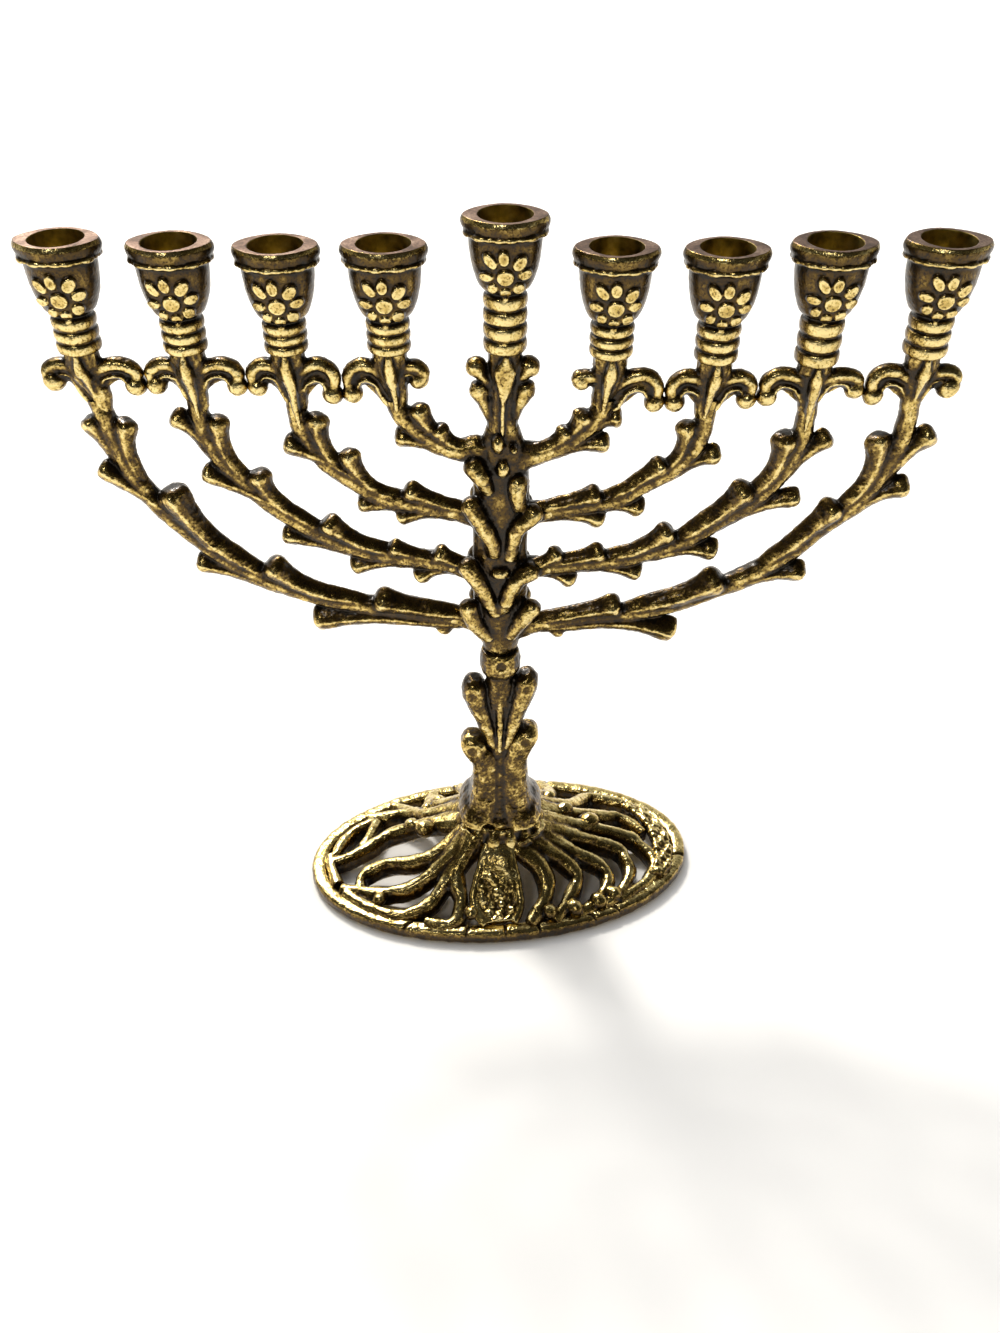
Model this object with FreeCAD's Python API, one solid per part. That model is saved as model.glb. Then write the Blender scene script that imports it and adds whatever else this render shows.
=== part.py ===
import FreeCAD, Part
import os
from math import atan2, cos, hypot, sin

# Nine-light menorah, cast brass. Millimetres, +Z up, X along the row of cups, front at -Y.
# The origin lies on the table, under the trunk.

# Row of cups
cup_pitch = 21.0
rim_height = 169.6
middle_rim_rise = 5.45
bowl_height = 13.2
neck_height = 8.0
cup_half_width = 8.5
cup_half_depth = 6.6
neck_radius = 4.3
neck_groove_radius = 3.75
candle_bore_radius = 5.3
candle_bore_depth = 6.8
bore_taper_depth = 3.4
bore_floor_radius = 2.6

# Arms and trunk
arm_seat = 7.5
arm_root_radius = 2.5
arm_radius = 2.15
arm_tip_radius = 2.1
knob_radius = 2.0
trunk_half_width = 5.4
trunk_half_depth = 3.8
twig_knob_radius = 2.5
bead_radius = 2.3

# Scrolls and leaf stalks under the cups
leaf_stalk_height = 12.2
stalk_foot_radius = 2.15
stalk_head_radius = 3.7
scroll_radius = 1.75
scroll_ball_radius = 2.5
scroll_top_drop = 3.2
scroll_ball_drop = 7.5
curl_reach = 5.6
curl_radius = 1.9

# Stem between base and trunk
foot_height = 21.5
foot_radius = 10.3
stem_radius = 4.3
lower_knob_reach = 6.5
lower_knob_radius = 3.0
upper_knob_reach = 6.6
upper_knob_radius = 2.8
knot_radius = 4.45

# Base
base_half_length = 51.0
base_half_width = 28.5
base_turn = 5.7
rim_thickness = 4.0
rim_width = 3.9
rim_round = 1.0
slope_foot = 4.6
slope_power = 1.7
collar_radius = 12.0
collar_seat_radius = 10.0
collar_shoulder_drop = 3.3
collar_skirt_drop = 6.9
collar_hollow_radius = 8.5
collar_wall = 3.9
root_radius = 1.8
plate_thickness = 2.4
plate_half_width = 6.3
band_half_width = 2.3
band_thickness = 2.2
bead_on_slope_radius = 2.2

# Fastener
screw_radius = 2.0
screw_reach = 12.0
screw_head_radius = 3.5
screw_head_height = 2.6
washer_radius = 4.8
washer_thickness = 0.8
screw_clearance = 0.2

overrun = 5.0

# Heights up the tree, in shares of the height of the necks' base
height_shares = {"stem split": 0.3437, "lower knobs": 0.314, "upper knobs": 0.434, "knot": 0.465,
                 "trunk base": 0.4919, "stalk base": 0.8827, "outer": 0.5526, "second": 0.6469,
                 "third": 0.7412, "inner": 0.8423}

# Cup places: step along the row, offset in shares of the pitch, rim offset in shares of the bowl
CUPS = {
    "1": {"step": -4, "offset_share": 0.024, "rim_share": 0.076},
    "2": {"step": -3, "offset_share": 0.029, "rim_share": 0.030},
    "3": {"step": -2, "offset_share": -0.019, "rim_share": -0.015},
    "4": {"step": -1, "offset_share": -0.048, "rim_share": 0.0},
    "5": {"step": 1, "offset_share": 0.052, "rim_share": -0.045},
    "6": {"step": 2, "offset_share": 0.052, "rim_share": -0.061},
    "7": {"step": 3, "offset_share": 0.010, "rim_share": 0.030},
    "8": {"step": 4, "offset_share": 0.024, "rim_share": 0.064},
}
middle_offset_share = 0.048

# Bowl outline from the rim down: depth in shares of its height, then width and depth shares
bowl_shares = [
    (0.0, 1.0, 1.0), (0.09, 1.0, 1.0), (0.26, 0.87, 0.94), (0.32, 0.80, 0.93), (0.49, 0.785, 0.93),
    (0.68, 0.66, 0.80), (0.955, 0.52, 0.67), (1.0, 0.44, 0.57),
]

# A neck ring from its top down: where it swells, and where it meets the groove under it
ring_height_shares = [0.14, 0.78, 1.0]
ring_count = 3
middle_ring_count = 4

# Arm centre lines: x in shares of the cup's distance, z in shares of the rise from the arm's level
ARM_LEVEL_NAMES = {"1": "outer", "2": "second", "3": "third", "4": "inner",
                   "5": "inner", "6": "third", "7": "second", "8": "outer"}
arm_path_shares = {
    "1": [(0.05, 0.0), (0.12, 0.015), (0.24, 0.038), (0.359, 0.068), (0.479, 0.098), (0.599, 0.158),
          (0.719, 0.248), (0.79, 0.331), (0.862, 0.429), (0.922, 0.541), (0.952, 0.647),
          (0.976, 0.782), (0.994, 0.872)],
    "2": [(0.05, -0.02), (0.192, 0.038), (0.321, 0.067), (0.449, 0.095), (0.561, 0.143),
          (0.673, 0.219), (0.769, 0.305), (0.849, 0.40), (0.913, 0.486), (0.962, 0.59),
          (0.99, 0.705), (0.998, 0.838)],
    "3": [(0.08, 0.0), (0.283, 0.057), (0.472, 0.099), (0.613, 0.143), (0.731, 0.234),
          (0.849, 0.338), (0.932, 0.468), (0.979, 0.597), (0.991, 0.779)],
    "4": [(0.18, 0.04), (0.455, 0.064), (0.636, 0.17), (0.818, 0.298), (0.955, 0.468), (1.0, 0.723)],
    "5": [(0.18, -0.02), (0.452, 0.043), (0.633, 0.149), (0.814, 0.277), (0.95, 0.468),
          (1.01, 0.723)],
    "6": [(0.08, 0.0), (0.278, 0.052), (0.464, 0.091), (0.603, 0.13), (0.719, 0.221),
          (0.835, 0.299), (0.928, 0.416), (0.974, 0.545), (0.998, 0.779)],
    "7": [(0.05, 0.0), (0.206, 0.029), (0.316, 0.048), (0.443, 0.067), (0.554, 0.114),
          (0.665, 0.171), (0.759, 0.257), (0.854, 0.343), (0.926, 0.438), (0.973, 0.552),
          (0.997, 0.667), (1.0, 0.838)],
    "8": [(0.05, -0.02), (0.142, 0.0), (0.237, 0.023), (0.355, 0.038), (0.473, 0.075),
          (0.592, 0.143), (0.686, 0.211), (0.769, 0.293), (0.828, 0.376), (0.888, 0.451),
          (0.935, 0.526), (0.97, 0.617), (0.994, 0.722), (0.994, 0.872)],
}

# Bone-shaped side twigs: knob x and z, root x and z, knob size, in shares as above
twig_shares = {
    "1": [(1.017, 0.767, 0.952, 0.632, 0.9), (0.926, 0.761, 0.931, 0.617, 0.9),
          (1.005, 0.605, 0.838, 0.361, 0.9), (0.842, 0.514, 0.75, 0.286, 1.3),
          (0.80, 0.248, 0.64, 0.165, 1.0), (0.611, 0.235, 0.491, 0.071, 1.15),
          (0.502, 0.015, 0.24, 0.018, 1.2), (0.328, 0.096, 0.18, 0.045, 1.2),
          (0.163, -0.036, 0.10, 0.0, 0.75)],
    "2": [(1.071, 0.724, 0.994, 0.587, 0.9), (0.934, 0.71, 0.925, 0.482, 0.9),
          (0.997, 0.482, 0.747, 0.248, 0.9), (0.822, 0.47, 0.777, 0.324, 1.0),
          (0.753, 0.185, 0.53, 0.10, 0.9), (0.603, 0.244, 0.473, 0.067, 1.0),
          (0.521, 0.03, 0.325, 0.042, 0.9), (0.381, 0.124, 0.256, 0.053, 0.8),
          (0.292, -0.032, 0.168, 0.0, 0.8), (0.221, 0.093, 0.14, 0.019, 0.9)],
    "3": [(1.04, 0.473, 0.778, 0.234, 0.9), (0.892, 0.618, 0.873, 0.338, 0.95),
          (0.752, 0.405, 0.613, 0.143, 0.85), (0.703, 0.096, 0.472, 0.091, 0.9),
          (0.46, 0.182, 0.236, 0.078, 0.88), (0.509, 0.01, 0.283, 0.026, 0.9)],
    "4": [(0.764, 0.464, 0.545, 0.085, 0.85), (0.95, 0.196, 0.58, 0.045, 0.9),
          (0.582, 0.268, 0.364, 0.064, 0.8)],
    "5": [(0.995, 0.128, 0.543, 0.0, 0.85), (0.787, 0.404, 0.633, 0.106, 0.9),
          (0.633, 0.247, 0.43, 0.0, 0.85), (1.095, 0.383, 0.905, 0.277, 0.9)],
    "6": [(0.896, 0.577, 0.87, 0.343, 0.85), (1.056, 0.397, 0.893, 0.291, 0.9),
          (0.796, 0.34, 0.65, 0.13, 0.9), (0.703, 0.065, 0.534, 0.065, 0.9),
          (0.48, 0.156, 0.278, 0.052, 0.9), (0.508, -0.01, 0.255, 0.013, 0.9)],
    "7": [(0.941, 0.636, 0.926, 0.448, 1.1), (1.079, 0.632, 0.985, 0.486, 0.9),
          (0.834, 0.40, 0.736, 0.219, 1.2), (1.009, 0.362, 0.80, 0.27, 0.9),
          (0.584, 0.202, 0.459, 0.086, 1.0), (0.747, 0.107, 0.57, 0.10, 1.0),
          (0.353, 0.099, 0.222, 0.038, 0.9), (0.487, -0.006, 0.316, 0.01, 0.9),
          (0.201, 0.093, 0.13, 0.019, 0.8), (0.255, -0.051, 0.14, -0.01, 0.8)],
    "8": [(1.059, 0.722, 0.985, 0.60, 1.0), (0.934, 0.71, 0.917, 0.507, 1.0),
          (1.025, 0.538, 0.923, 0.457, 1.0), (0.856, 0.462, 0.781, 0.301, 1.15),
          (0.80, 0.211, 0.66, 0.17, 1.0), (0.579, 0.18, 0.45, 0.083, 1.3),
          (0.469, -0.036, 0.24, 0.012, 1.2), (0.314, 0.075, 0.178, 0.015, 1.05),
          (0.166, -0.045, 0.10, -0.015, 0.75)],
}

# Side twig outline: place in shares of its length, radius in shares of its knob
horn_shares = [(0.0, 0.5), (0.4, 0.62), (0.75, 0.8), (0.9, 1.0), (0.97, 0.92), (1.0, 0.62)]
# The stem's bones are as thick at the root as at the knob
bone_shares = [(0.0, 0.9), (0.4, 0.88), (0.75, 0.92), (0.9, 1.0), (0.97, 0.9), (1.0, 0.6)]
horn_overhang_share = 0.6

# Scroll ends: which side meets its neighbour, ball height in shares of the scroll's rise, ball size
scroll_shares = {
    "1": {"left": ("free", 0.31, 0.29, 1.05), "right": ("meet", 0.0, 0.0, 1.0)},
    "2": {"left": ("meet", 0.0, 0.07, 1.0), "right": ("meet", 0.0, -0.02, 0.95)},
    "3": {"left": ("meet", 0.0, -0.05, 0.95), "right": ("meet", 0.0, -0.45, 0.95)},
    "4": {"left": ("meet", 0.0, -0.40, 0.95), "right": ("free", 0.267, 0.29, 0.9)},
    "5": {"left": ("free", 0.27, 0.2, 0.85), "right": ("meet", 0.0, -0.85, 0.95)},
    "6": {"left": ("meet", 0.0, -0.85, 0.95), "right": ("meet", 0.0, -0.7, 0.95)},
    "7": {"left": ("meet", 0.0, -0.55, 0.95), "right": ("meet", 0.0, -0.2, 0.9)},
    "8": {"left": ("meet", 0.0, -0.5, 0.95), "right": ("free", 0.30, -0.05, 1.1)},
}
meeting_shares = {"1": 0.564, "2": 0.56, "3": 0.51, "5": 0.548, "6": 0.458, "7": 0.502}
meeting_squash_share = 0.88
# Leaf stalk: height share, and share of the way from its foot's size to its head's
leaf_stalk_shares = [(0.0, 0.0), (0.35, 0.25), (0.7, 0.6), (1.0, 1.0)]
# A scroll's arc from the leaf stalk to its ball: shares of its run and of its drop
scroll_arc_shares = [(0.0, 0.6), (0.3, 0.12), (0.6, 0.0), (0.85, 0.3), (1.0, 0.95)]

# Trunk: height in shares from its base to the stalk, half width share, half depth share
trunk_shares = [(0.0, 0.78, 0.92), (0.09, 0.88, 1.0), (0.31, 1.0, 1.0), (0.53, 0.93, 1.0),
                (0.78, 0.9, 0.97), (1.0, 0.66, 0.87)]
# Trunk twigs beside each level: root width and height, in shares of the seat and of the level step
trunk_twig_shares = {"outer": (0.3, 0.45), "second": (0.16, 0.95), "third": (0.35, 0.8),
                     "inner": (0.27, 0.7)}
# Beads along the front and back of the trunk, in shares of its height
trunk_bead_shares = [0.36, 0.83]

# Curls beside the shamash stalk: height share of the stalk, size
curl_shares = [(0.72, 1.05), (0.4, 0.95)]
bone_root_share = 0.33

# Stem core: height shares from the foot to the trunk, radius in shares of the foot or stem
foot_shares = [(0.0, 1.0), (0.025, 0.97), (0.07, 0.78), (0.13, 0.64), (0.2, 0.56)]
stem_shares = [(0.35, 1.18), (0.5, 1.0), (0.6, 0.98), (0.75, 0.9), (0.86, 0.84), (1.0, 0.9)]

# Root strands on the base: x and y in shares of the base's half length and half width
root_shares = {
    "roots_left_front": [
        [(-0.15, -0.25), (-0.235, -0.40), (-0.25, -0.53), (-0.235, -0.64), (-0.25, -0.77),
         (-0.295, -0.84), (-0.37, -0.84), (-0.43, -0.80)],
        [(-0.23, -0.38), (-0.34, -0.56), (-0.39, -0.63), (-0.49, -0.69), (-0.59, -0.67),
         (-0.69, -0.62), (-0.745, -0.53), (-0.80, -0.44), (-0.94, -0.42)],
        [(-0.20, -0.25), (-0.37, -0.40), (-0.49, -0.46), (-0.57, -0.46), (-0.67, -0.43),
         (-0.745, -0.385), (-0.92, -0.35)],
        [(-0.17, -0.12), (-0.35, -0.245), (-0.47, -0.23), (-0.59, -0.17), (-0.685, -0.185),
         (-0.735, -0.245), (-0.745, -0.37)]],
    "roots_left_back": [
        [(-0.18, 0.05), (-0.39, 0.15), (-0.55, 0.21), (-0.61, 0.18), (-0.685, 0.12),
         (-0.80, 0.035), (-0.93, 0.02)],
        [(-0.65, 0.46), (-0.685, 0.28), (-0.725, 0.12)],
        [(-0.17, 0.18), (-0.37, 0.315), (-0.43, 0.44), (-0.51, 0.51), (-0.61, 0.54),
         (-0.74, 0.60)],
        [(-0.66, 0.5), (-0.78, 0.38), (-0.84, 0.24), (-0.875, 0.09)],
        [(-0.45, 0.47), (-0.51, 0.62), (-0.60, 0.76)],
        [(-0.15, 0.27), (-0.31, 0.455), (-0.35, 0.63), (-0.32, 0.84)]],
    "roots_right_front": [
        [(0.09, -0.33), (0.167, -0.455), (0.204, -0.56), (0.192, -0.70), (0.137, -0.825),
         (0.11, -0.93)],
        [(0.15, -0.27), (0.275, -0.37), (0.343, -0.44), (0.367, -0.525), (0.333, -0.65),
         (0.285, -0.77), (0.235, -0.91)],
        [(0.18, -0.17), (0.35, -0.30), (0.47, -0.35), (0.52, -0.42), (0.533, -0.51),
         (0.50, -0.63), (0.44, -0.74), (0.38, -0.88)],
        [(0.19, -0.10), (0.43, -0.14), (0.61, -0.175), (0.645, -0.28), (0.66, -0.385),
         (0.635, -0.51), (0.58, -0.65), (0.52, -0.81)],
        [(0.19, -0.03), (0.47, 0.02), (0.695, -0.01), (0.745, -0.09), (0.79, -0.195),
         (0.80, -0.315), (0.765, -0.455), (0.705, -0.56), (0.61, -0.74)]],
    "roots_right_back": [
        [(0.17, 0.14), (0.37, 0.15), (0.57, 0.245), (0.655, 0.265), (0.725, 0.195),
         (0.78, 0.06)],
        [(0.16, 0.20), (0.36, 0.29), (0.45, 0.455), (0.52, 0.60), (0.61, 0.58), (0.72, 0.51)],
        [(0.13, 0.30), (0.27, 0.43), (0.31, 0.63), (0.285, 0.86)],
        [(0.06, 0.36), (0.13, 0.6), (0.12, 0.88)]],
    "roots_back": [
        [(-0.06, 0.36), (-0.14, 0.63), (-0.17, 0.88)]],
}
# Sloping plate: centre x and y in shares of the base, half width in shares of the plate's
plate_shares = [(-0.02, -0.33, 0.50), (-0.04, -0.46, 0.66), (-0.055, -0.60, 0.98),
                (-0.06, -0.72, 0.96), (-0.06, -0.81, 0.80), (-0.06, -0.90, 0.62)]
# Raised band along the right end: x and y in shares of the base
band_shares = [(0.74, 0.44), (0.80, 0.31), (0.845, 0.15), (0.862, 0.0), (0.862, -0.16),
               (0.843, -0.33), (0.80, -0.45)]
slope_bead_shares = (0.48, 0.0)

UP = FreeCAD.Vector(0, 0, 1)
ACROSS = FreeCAD.Vector(1, 0, 0)
AWAY = FreeCAD.Vector(0, 1, 0)


def vector(x, y, z):
    return FreeCAD.Vector(x, y, z)


def under_cups(drop):
    """A height at a drop below the base of the necks."""
    return rim_height - bowl_height - neck_height - drop


def up_tree(name):
    """The height of a named place on the tree."""
    return under_cups(0) * height_shares[name]


def oval(centre, wide, normal, half_width, half_depth):
    """A closed wire: an ellipse whose first half axis runs along wide, square to normal."""
    side = wide - normal * wide.dot(normal)
    side.normalize()
    if half_width == half_depth:
        circle = Part.Circle(centre, normal, half_width)
        circle.XAxis = side
        return Part.Wire(circle.toShape())
    other = normal.cross(side)
    first, second = side, other
    major, minor = half_width, half_depth
    if major < minor:
        first, second = other, side
        major, minor = half_depth, half_width
    curve = Part.Ellipse(centre + first * major, centre + second * minor, centre)
    return Part.Wire(curve.toShape())


def limb(points, half_widths, half_depths, wide):
    """A ruled loft along a bent line. Each section is square to the line at its point."""
    sections = []
    last = len(points) - 1
    for number, point in enumerate(points):
        behind = points[max(number - 1, 0)]
        ahead = points[min(number + 1, last)]
        normal = ahead - behind
        normal.normalize()
        sections.append(oval(point, wide, normal, half_widths[number], half_depths[number]))
    return Part.makeLoft(sections, True, True)


def turned(profile, start, direction):
    """A solid of revolution about a line. The profile holds (place along the line, radius)."""
    axis = vector(direction.x, direction.y, direction.z)
    axis.normalize()
    side = axis.cross(vector(0, 1, 0))
    if side.Length == 0:
        side = vector(1, 0, 0)
    side.normalize()
    corners = [start + axis * profile[0][0]]
    corners += [start + axis * along + side * radius for along, radius in profile]
    corners += [start + axis * profile[-1][0], corners[0]]
    return Part.Face(Part.makePolygon(corners)).revolve(start, axis, 360)


def horn(root, knob, radius, outline_shares):
    """A bone-shaped twig that widens from its root to a rounded knob."""
    run = knob - root
    length = run.Length + radius * horn_overhang_share
    profile = [(length * along, radius * width) for along, width in outline_shares]
    return turned(profile, root, run)


def ball(centre, radius):
    return Part.makeSphere(radius, centre)


def slab(low_x, high_x, low_z, high_z):
    """A block as deep as the base, to cut neighbours along shared planes."""
    corner = vector(low_x, -base_half_width, low_z)
    return Part.makeBox(high_x - low_x, base_half_width * 2, high_z - low_z, corner)


def cup_place(name):
    cup = CUPS[name]
    return cup_pitch * (cup["step"] + cup["offset_share"])


def cup_rim(name):
    return rim_height + bowl_height * CUPS[name]["rim_share"]


def cup(x, rim, rings):
    """A bowl with a flat oval rim on a ringed neck, with the candle bore from above."""
    heights = []
    widths = []
    depths = []
    for down, wide, deep in bowl_shares:
        heights.append(rim - bowl_height * down)
        widths.append(cup_half_width * wide)
        depths.append(cup_half_depth * deep)
    neck_top = rim - bowl_height
    ring_height = (neck_top - under_cups(0)) / rings
    for ring in range(rings):
        top = neck_top - ring_height * ring
        for down, wide in zip(ring_height_shares, (neck_radius, neck_radius, neck_groove_radius)):
            heights.append(top - ring_height * down)
            widths.append(wide)
            depths.append(wide)
    sections = []
    for height, wide, deep in zip(heights, widths, depths):
        sections.append(oval(vector(x, 0, height), ACROSS, UP, wide, deep))
    body = Part.makeLoft(sections, True, True)
    floor = rim - candle_bore_depth - bore_taper_depth
    bore = turned([(0, bore_floor_radius), (bore_taper_depth, candle_bore_radius),
                   (bore_taper_depth + candle_bore_depth + overrun, candle_bore_radius)],
                  vector(x, 0, floor), UP)
    return body.cut(bore)


def arm_point(name, share_x, share_z):
    """A place in the plane of the arms, from shares of the arm's reach and rise."""
    level = up_tree(ARM_LEVEL_NAMES[name])
    rise = under_cups(0) - level
    return vector(cup_place(name) * share_x, 0, level + rise * share_z)


def arm(name):
    """One branch: a bent limb with bone-shaped side twigs, cut at the trunk and under the cup."""
    points = [arm_point(name, x, z) for x, z in arm_path_shares[name]]
    last = len(points) - 1
    radii = []
    for number in range(last + 1):
        share = number / last
        if share < 0.5:
            radii.append(arm_root_radius + (arm_radius - arm_root_radius) * share * 2)
        else:
            radii.append(arm_radius + (arm_tip_radius - arm_radius) * (share * 2 - 1))
    core = limb(points, radii, radii, AWAY)
    horns = []
    for knob_x, knob_z, root_x, root_z, size in twig_shares[name]:
        horns.append(horn(arm_point(name, root_x, root_z), arm_point(name, knob_x, knob_z),
                          knob_radius * size, horn_shares))
    whole = core.multiFuse(horns)
    far = abs(cup_place(name)) + cup_pitch
    if cup_place(name) > 0:
        room = slab(arm_seat, far, foot_height, under_cups(leaf_stalk_height))
    else:
        room = slab(-far, -arm_seat, foot_height, under_cups(leaf_stalk_height))
    return whole.common(room)


def meeting_plane(name):
    following = str(int(name) + 1)
    first, second = cup_place(name), cup_place(following)
    return first + (second - first) * meeting_shares[name]


def scroll_end(name, side):
    """The ball's centre and size, and the plane where the scroll is cut, if it meets another."""
    kind, reach_share, height_share, size = scroll_shares[name][side]
    radius = scroll_ball_radius * size
    height = under_cups(scroll_ball_drop - (scroll_ball_drop - scroll_top_drop) * height_share)
    outward = -1 if side == "left" else 1
    if kind == "free":
        return vector(cup_place(name) + outward * cup_pitch * reach_share, 0, height), radius, None
    plane = meeting_plane(name) if side == "right" else meeting_plane(str(int(name) - 1))
    return vector(plane - outward * radius * meeting_squash_share, 0, height), radius, plane


def calyx(name):
    """The leaf stalk under a cup, with a scroll to each side that curls down to a ball."""
    x = cup_place(name)
    foot = arm_point(name, arm_path_shares[name][-2][0], 0).x
    sections = []
    for height_share, size_share in leaf_stalk_shares:
        radius = stalk_foot_radius + (stalk_head_radius - stalk_foot_radius) * size_share
        centre = vector(foot + (x - foot) * height_share, 0,
                        under_cups(leaf_stalk_height * (1 - height_share)))
        sections.append(oval(centre, ACROSS, UP, radius, radius))
    stalk = Part.makeLoft(sections, True, True)
    pieces = []
    low, high = x - cup_pitch, x + cup_pitch
    for side in ("left", "right"):
        end, radius, plane = scroll_end(name, side)
        run = end.x - x
        top = under_cups(scroll_top_drop) - scroll_radius
        drop = top - end.z
        points = []
        for run_share, drop_share in scroll_arc_shares:
            points.append(vector(x + run * run_share, 0, top - drop * drop_share))
        count = len(points)
        pieces.append(limb(points, [scroll_radius] * count, [scroll_radius] * count, AWAY))
        pieces.append(ball(end, radius))
        if plane is not None and side == "left":
            low = plane
        if plane is not None and side == "right":
            high = plane
    whole = stalk.multiFuse(pieces)
    return whole.common(slab(low, high, foot_height, under_cups(0)))


def trunk():
    """The upright between stem and shamash stalk, with a pair of twigs at each arm level."""
    foot = up_tree("trunk base")
    height = up_tree("stalk base") - foot
    sections = []
    for share, wide, deep in trunk_shares:
        sections.append(oval(vector(0, 0, foot + height * share), ACROSS, UP,
                             trunk_half_width * wide, trunk_half_depth * deep))
    core = Part.makeLoft(sections, True, True)
    pieces = []
    step = up_tree("second") - up_tree("outer")
    for level, (root_share, drop_share) in trunk_twig_shares.items():
        top = up_tree(level)
        bottom = max(top - step * drop_share, foot + twig_knob_radius)
        for outward in (-1, 1):
            root = vector(outward * arm_seat * root_share, 0, bottom)
            knob = vector(outward * (arm_seat + twig_knob_radius / 2), 0, top)
            pieces.append(horn(root, knob, twig_knob_radius, horn_shares))
    for share in trunk_bead_shares:
        for outward in (-1, 1):
            pieces.append(ball(vector(0, outward * trunk_half_depth,
                                      foot + height * share), bead_radius))
    whole = core.multiFuse(pieces)
    return whole.common(slab(-arm_seat, arm_seat, foot, foot + height))


def shamash_stalk():
    """The top of the trunk under the middle cup, with two pairs of small curls."""
    x = cup_pitch * middle_offset_share
    base = up_tree("stalk base")
    rise = under_cups(0) - base
    first = vector(0, 0, base)
    wide, deep = trunk_half_width * trunk_shares[-1][1], trunk_half_depth * trunk_shares[-1][2]
    middle = vector(x / 2, 0, base + rise / 2)
    last = vector(x, 0, base + rise)
    sections = [oval(first, ACROSS, UP, wide, deep),
                oval(middle, ACROSS, UP, wide, deep),
                oval(last, ACROSS, UP, stalk_head_radius, stalk_head_radius)]
    core = Part.makeLoft(sections, True, True)
    pieces = []
    for height_share, size in curl_shares:
        for outward in (-1, 1):
            knob = vector(x / 2 + outward * curl_reach * size, 0,
                          base + rise * height_share)
            root = vector(x / 2, 0, knob.z - curl_reach)
            pieces.append(horn(root, knob, curl_radius * size, bone_shares))
    whole = core.multiFuse(pieces)
    return whole.common(slab(-cup_pitch, cup_pitch, base, base + rise))


def stem():
    """The whole stem: a turned core on a flared foot, with two pairs of bones and a knot bead."""
    height = up_tree("trunk base") - foot_height
    profile = [(height * share, foot_radius * wide) for share, wide in foot_shares]
    profile += [(height * share, stem_radius * wide) for share, wide in stem_shares]
    core = turned(profile, vector(0, 0, foot_height), UP)
    pieces = [ball(vector(0, 0, up_tree("knot")), knot_radius)]
    pairs = [("lower knobs", lower_knob_reach, lower_knob_radius, foot_height + foot_radius / 2),
             ("upper knobs", upper_knob_reach, upper_knob_radius, up_tree("stem split"))]
    for knobs, reach, radius, root_height in pairs:
        knob_height = up_tree(knobs)
        for outward in (-1, 1):
            root = vector(outward * reach * bone_root_share, 0, root_height)
            knob = vector(outward * reach, 0, knob_height)
            pieces.append(horn(root, knob, radius, bone_shares))
    return core.multiFuse(pieces)


def stem_lower(whole_stem):
    """The stem below the waist, with the tapped hole for the screw in its foot."""
    hole = Part.makeCylinder(screw_radius + screw_clearance, screw_reach + screw_clearance,
                             vector(0, 0, foot_height))
    side = foot_radius + overrun
    return whole_stem.common(slab(-side, side, foot_height, up_tree("stem split"))).cut(hole)


def stem_upper(whole_stem):
    side = foot_radius + overrun
    return whole_stem.common(slab(-side, side, up_tree("stem split"), up_tree("trunk base")))


def rim_oval(half_length, half_width, height):
    return oval(vector(0, 0, height), ACROSS, UP, half_length, half_width)


def base_rim():
    """The oval ring that stands on the table, with a rounded upper outer edge."""
    outer = Part.makeLoft([
        rim_oval(base_half_length, base_half_width, 0),
        rim_oval(base_half_length, base_half_width, rim_thickness - rim_round),
        rim_oval(base_half_length - rim_round, base_half_width - rim_round, rim_thickness)],
        True, True)
    return outer.cut(rim_opening())


def rim_opening():
    """The oval space inside the rim, taller than the base."""
    half_length, half_width = base_half_length - rim_width, base_half_width - rim_width
    wires = [rim_oval(half_length, half_width, -overrun),
             rim_oval(half_length, half_width, foot_height + overrun)]
    return Part.makeLoft(wires, True, True)


def slope_point(share_x, share_y, sink):
    """A place on the base's slope, sunk below its surface by a strand's half thickness."""
    x = base_half_length * share_x
    y = base_half_width * share_y
    away = hypot(x, y)
    angle = atan2(y, x)
    edge = base_half_length * base_half_width / hypot(base_half_width * cos(angle),
                                                      base_half_length * sin(angle))
    share = min(max((away - collar_radius) / (edge - collar_radius), 0), 1)
    rise = foot_height - collar_shoulder_drop - slope_foot
    return vector(x, y, slope_foot + rise * (1 - share) ** slope_power - sink)


def base_collar():
    """The hub under the foot: a low cone with a hollow underside and a hole for the screw."""
    hole = screw_radius + screw_clearance
    seat = foot_height - collar_wall
    corners = [(hole, foot_height), (collar_seat_radius, foot_height),
               (collar_radius, foot_height - collar_shoulder_drop),
               (collar_radius, foot_height - collar_skirt_drop),
               (collar_hollow_radius, seat), (hole, seat), (hole, foot_height)]
    outline = Part.makePolygon([vector(radius, 0, height) for radius, height in corners])
    return Part.Face(outline).revolve(vector(0, 0, 0), UP, 360)


def collar_core():
    """The space inside the collar's side wall, cut out of what meets it."""
    return Part.makeCylinder(collar_radius, foot_height + overrun, vector(0, 0, -overrun))


def medallion_plate():
    """The tapered plate on the front slope, from the collar to the rim."""
    points = [slope_point(x, y, plate_thickness / 2) for x, y, wide in plate_shares]
    widths = [plate_half_width * wide for x, y, wide in plate_shares]
    plate = limb(points, widths, [plate_thickness / 2] * len(points), ACROSS)
    return plate.cut(collar_core()).common(rim_opening())


def base_end_band():
    """The raised band that follows the inside of the rim along the right end."""
    points = [slope_point(x, y, band_thickness / 2) for x, y in band_shares]
    count = len(points)
    band = limb(points, [band_half_width] * count, [band_thickness / 2] * count, ACROSS)
    return band


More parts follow.
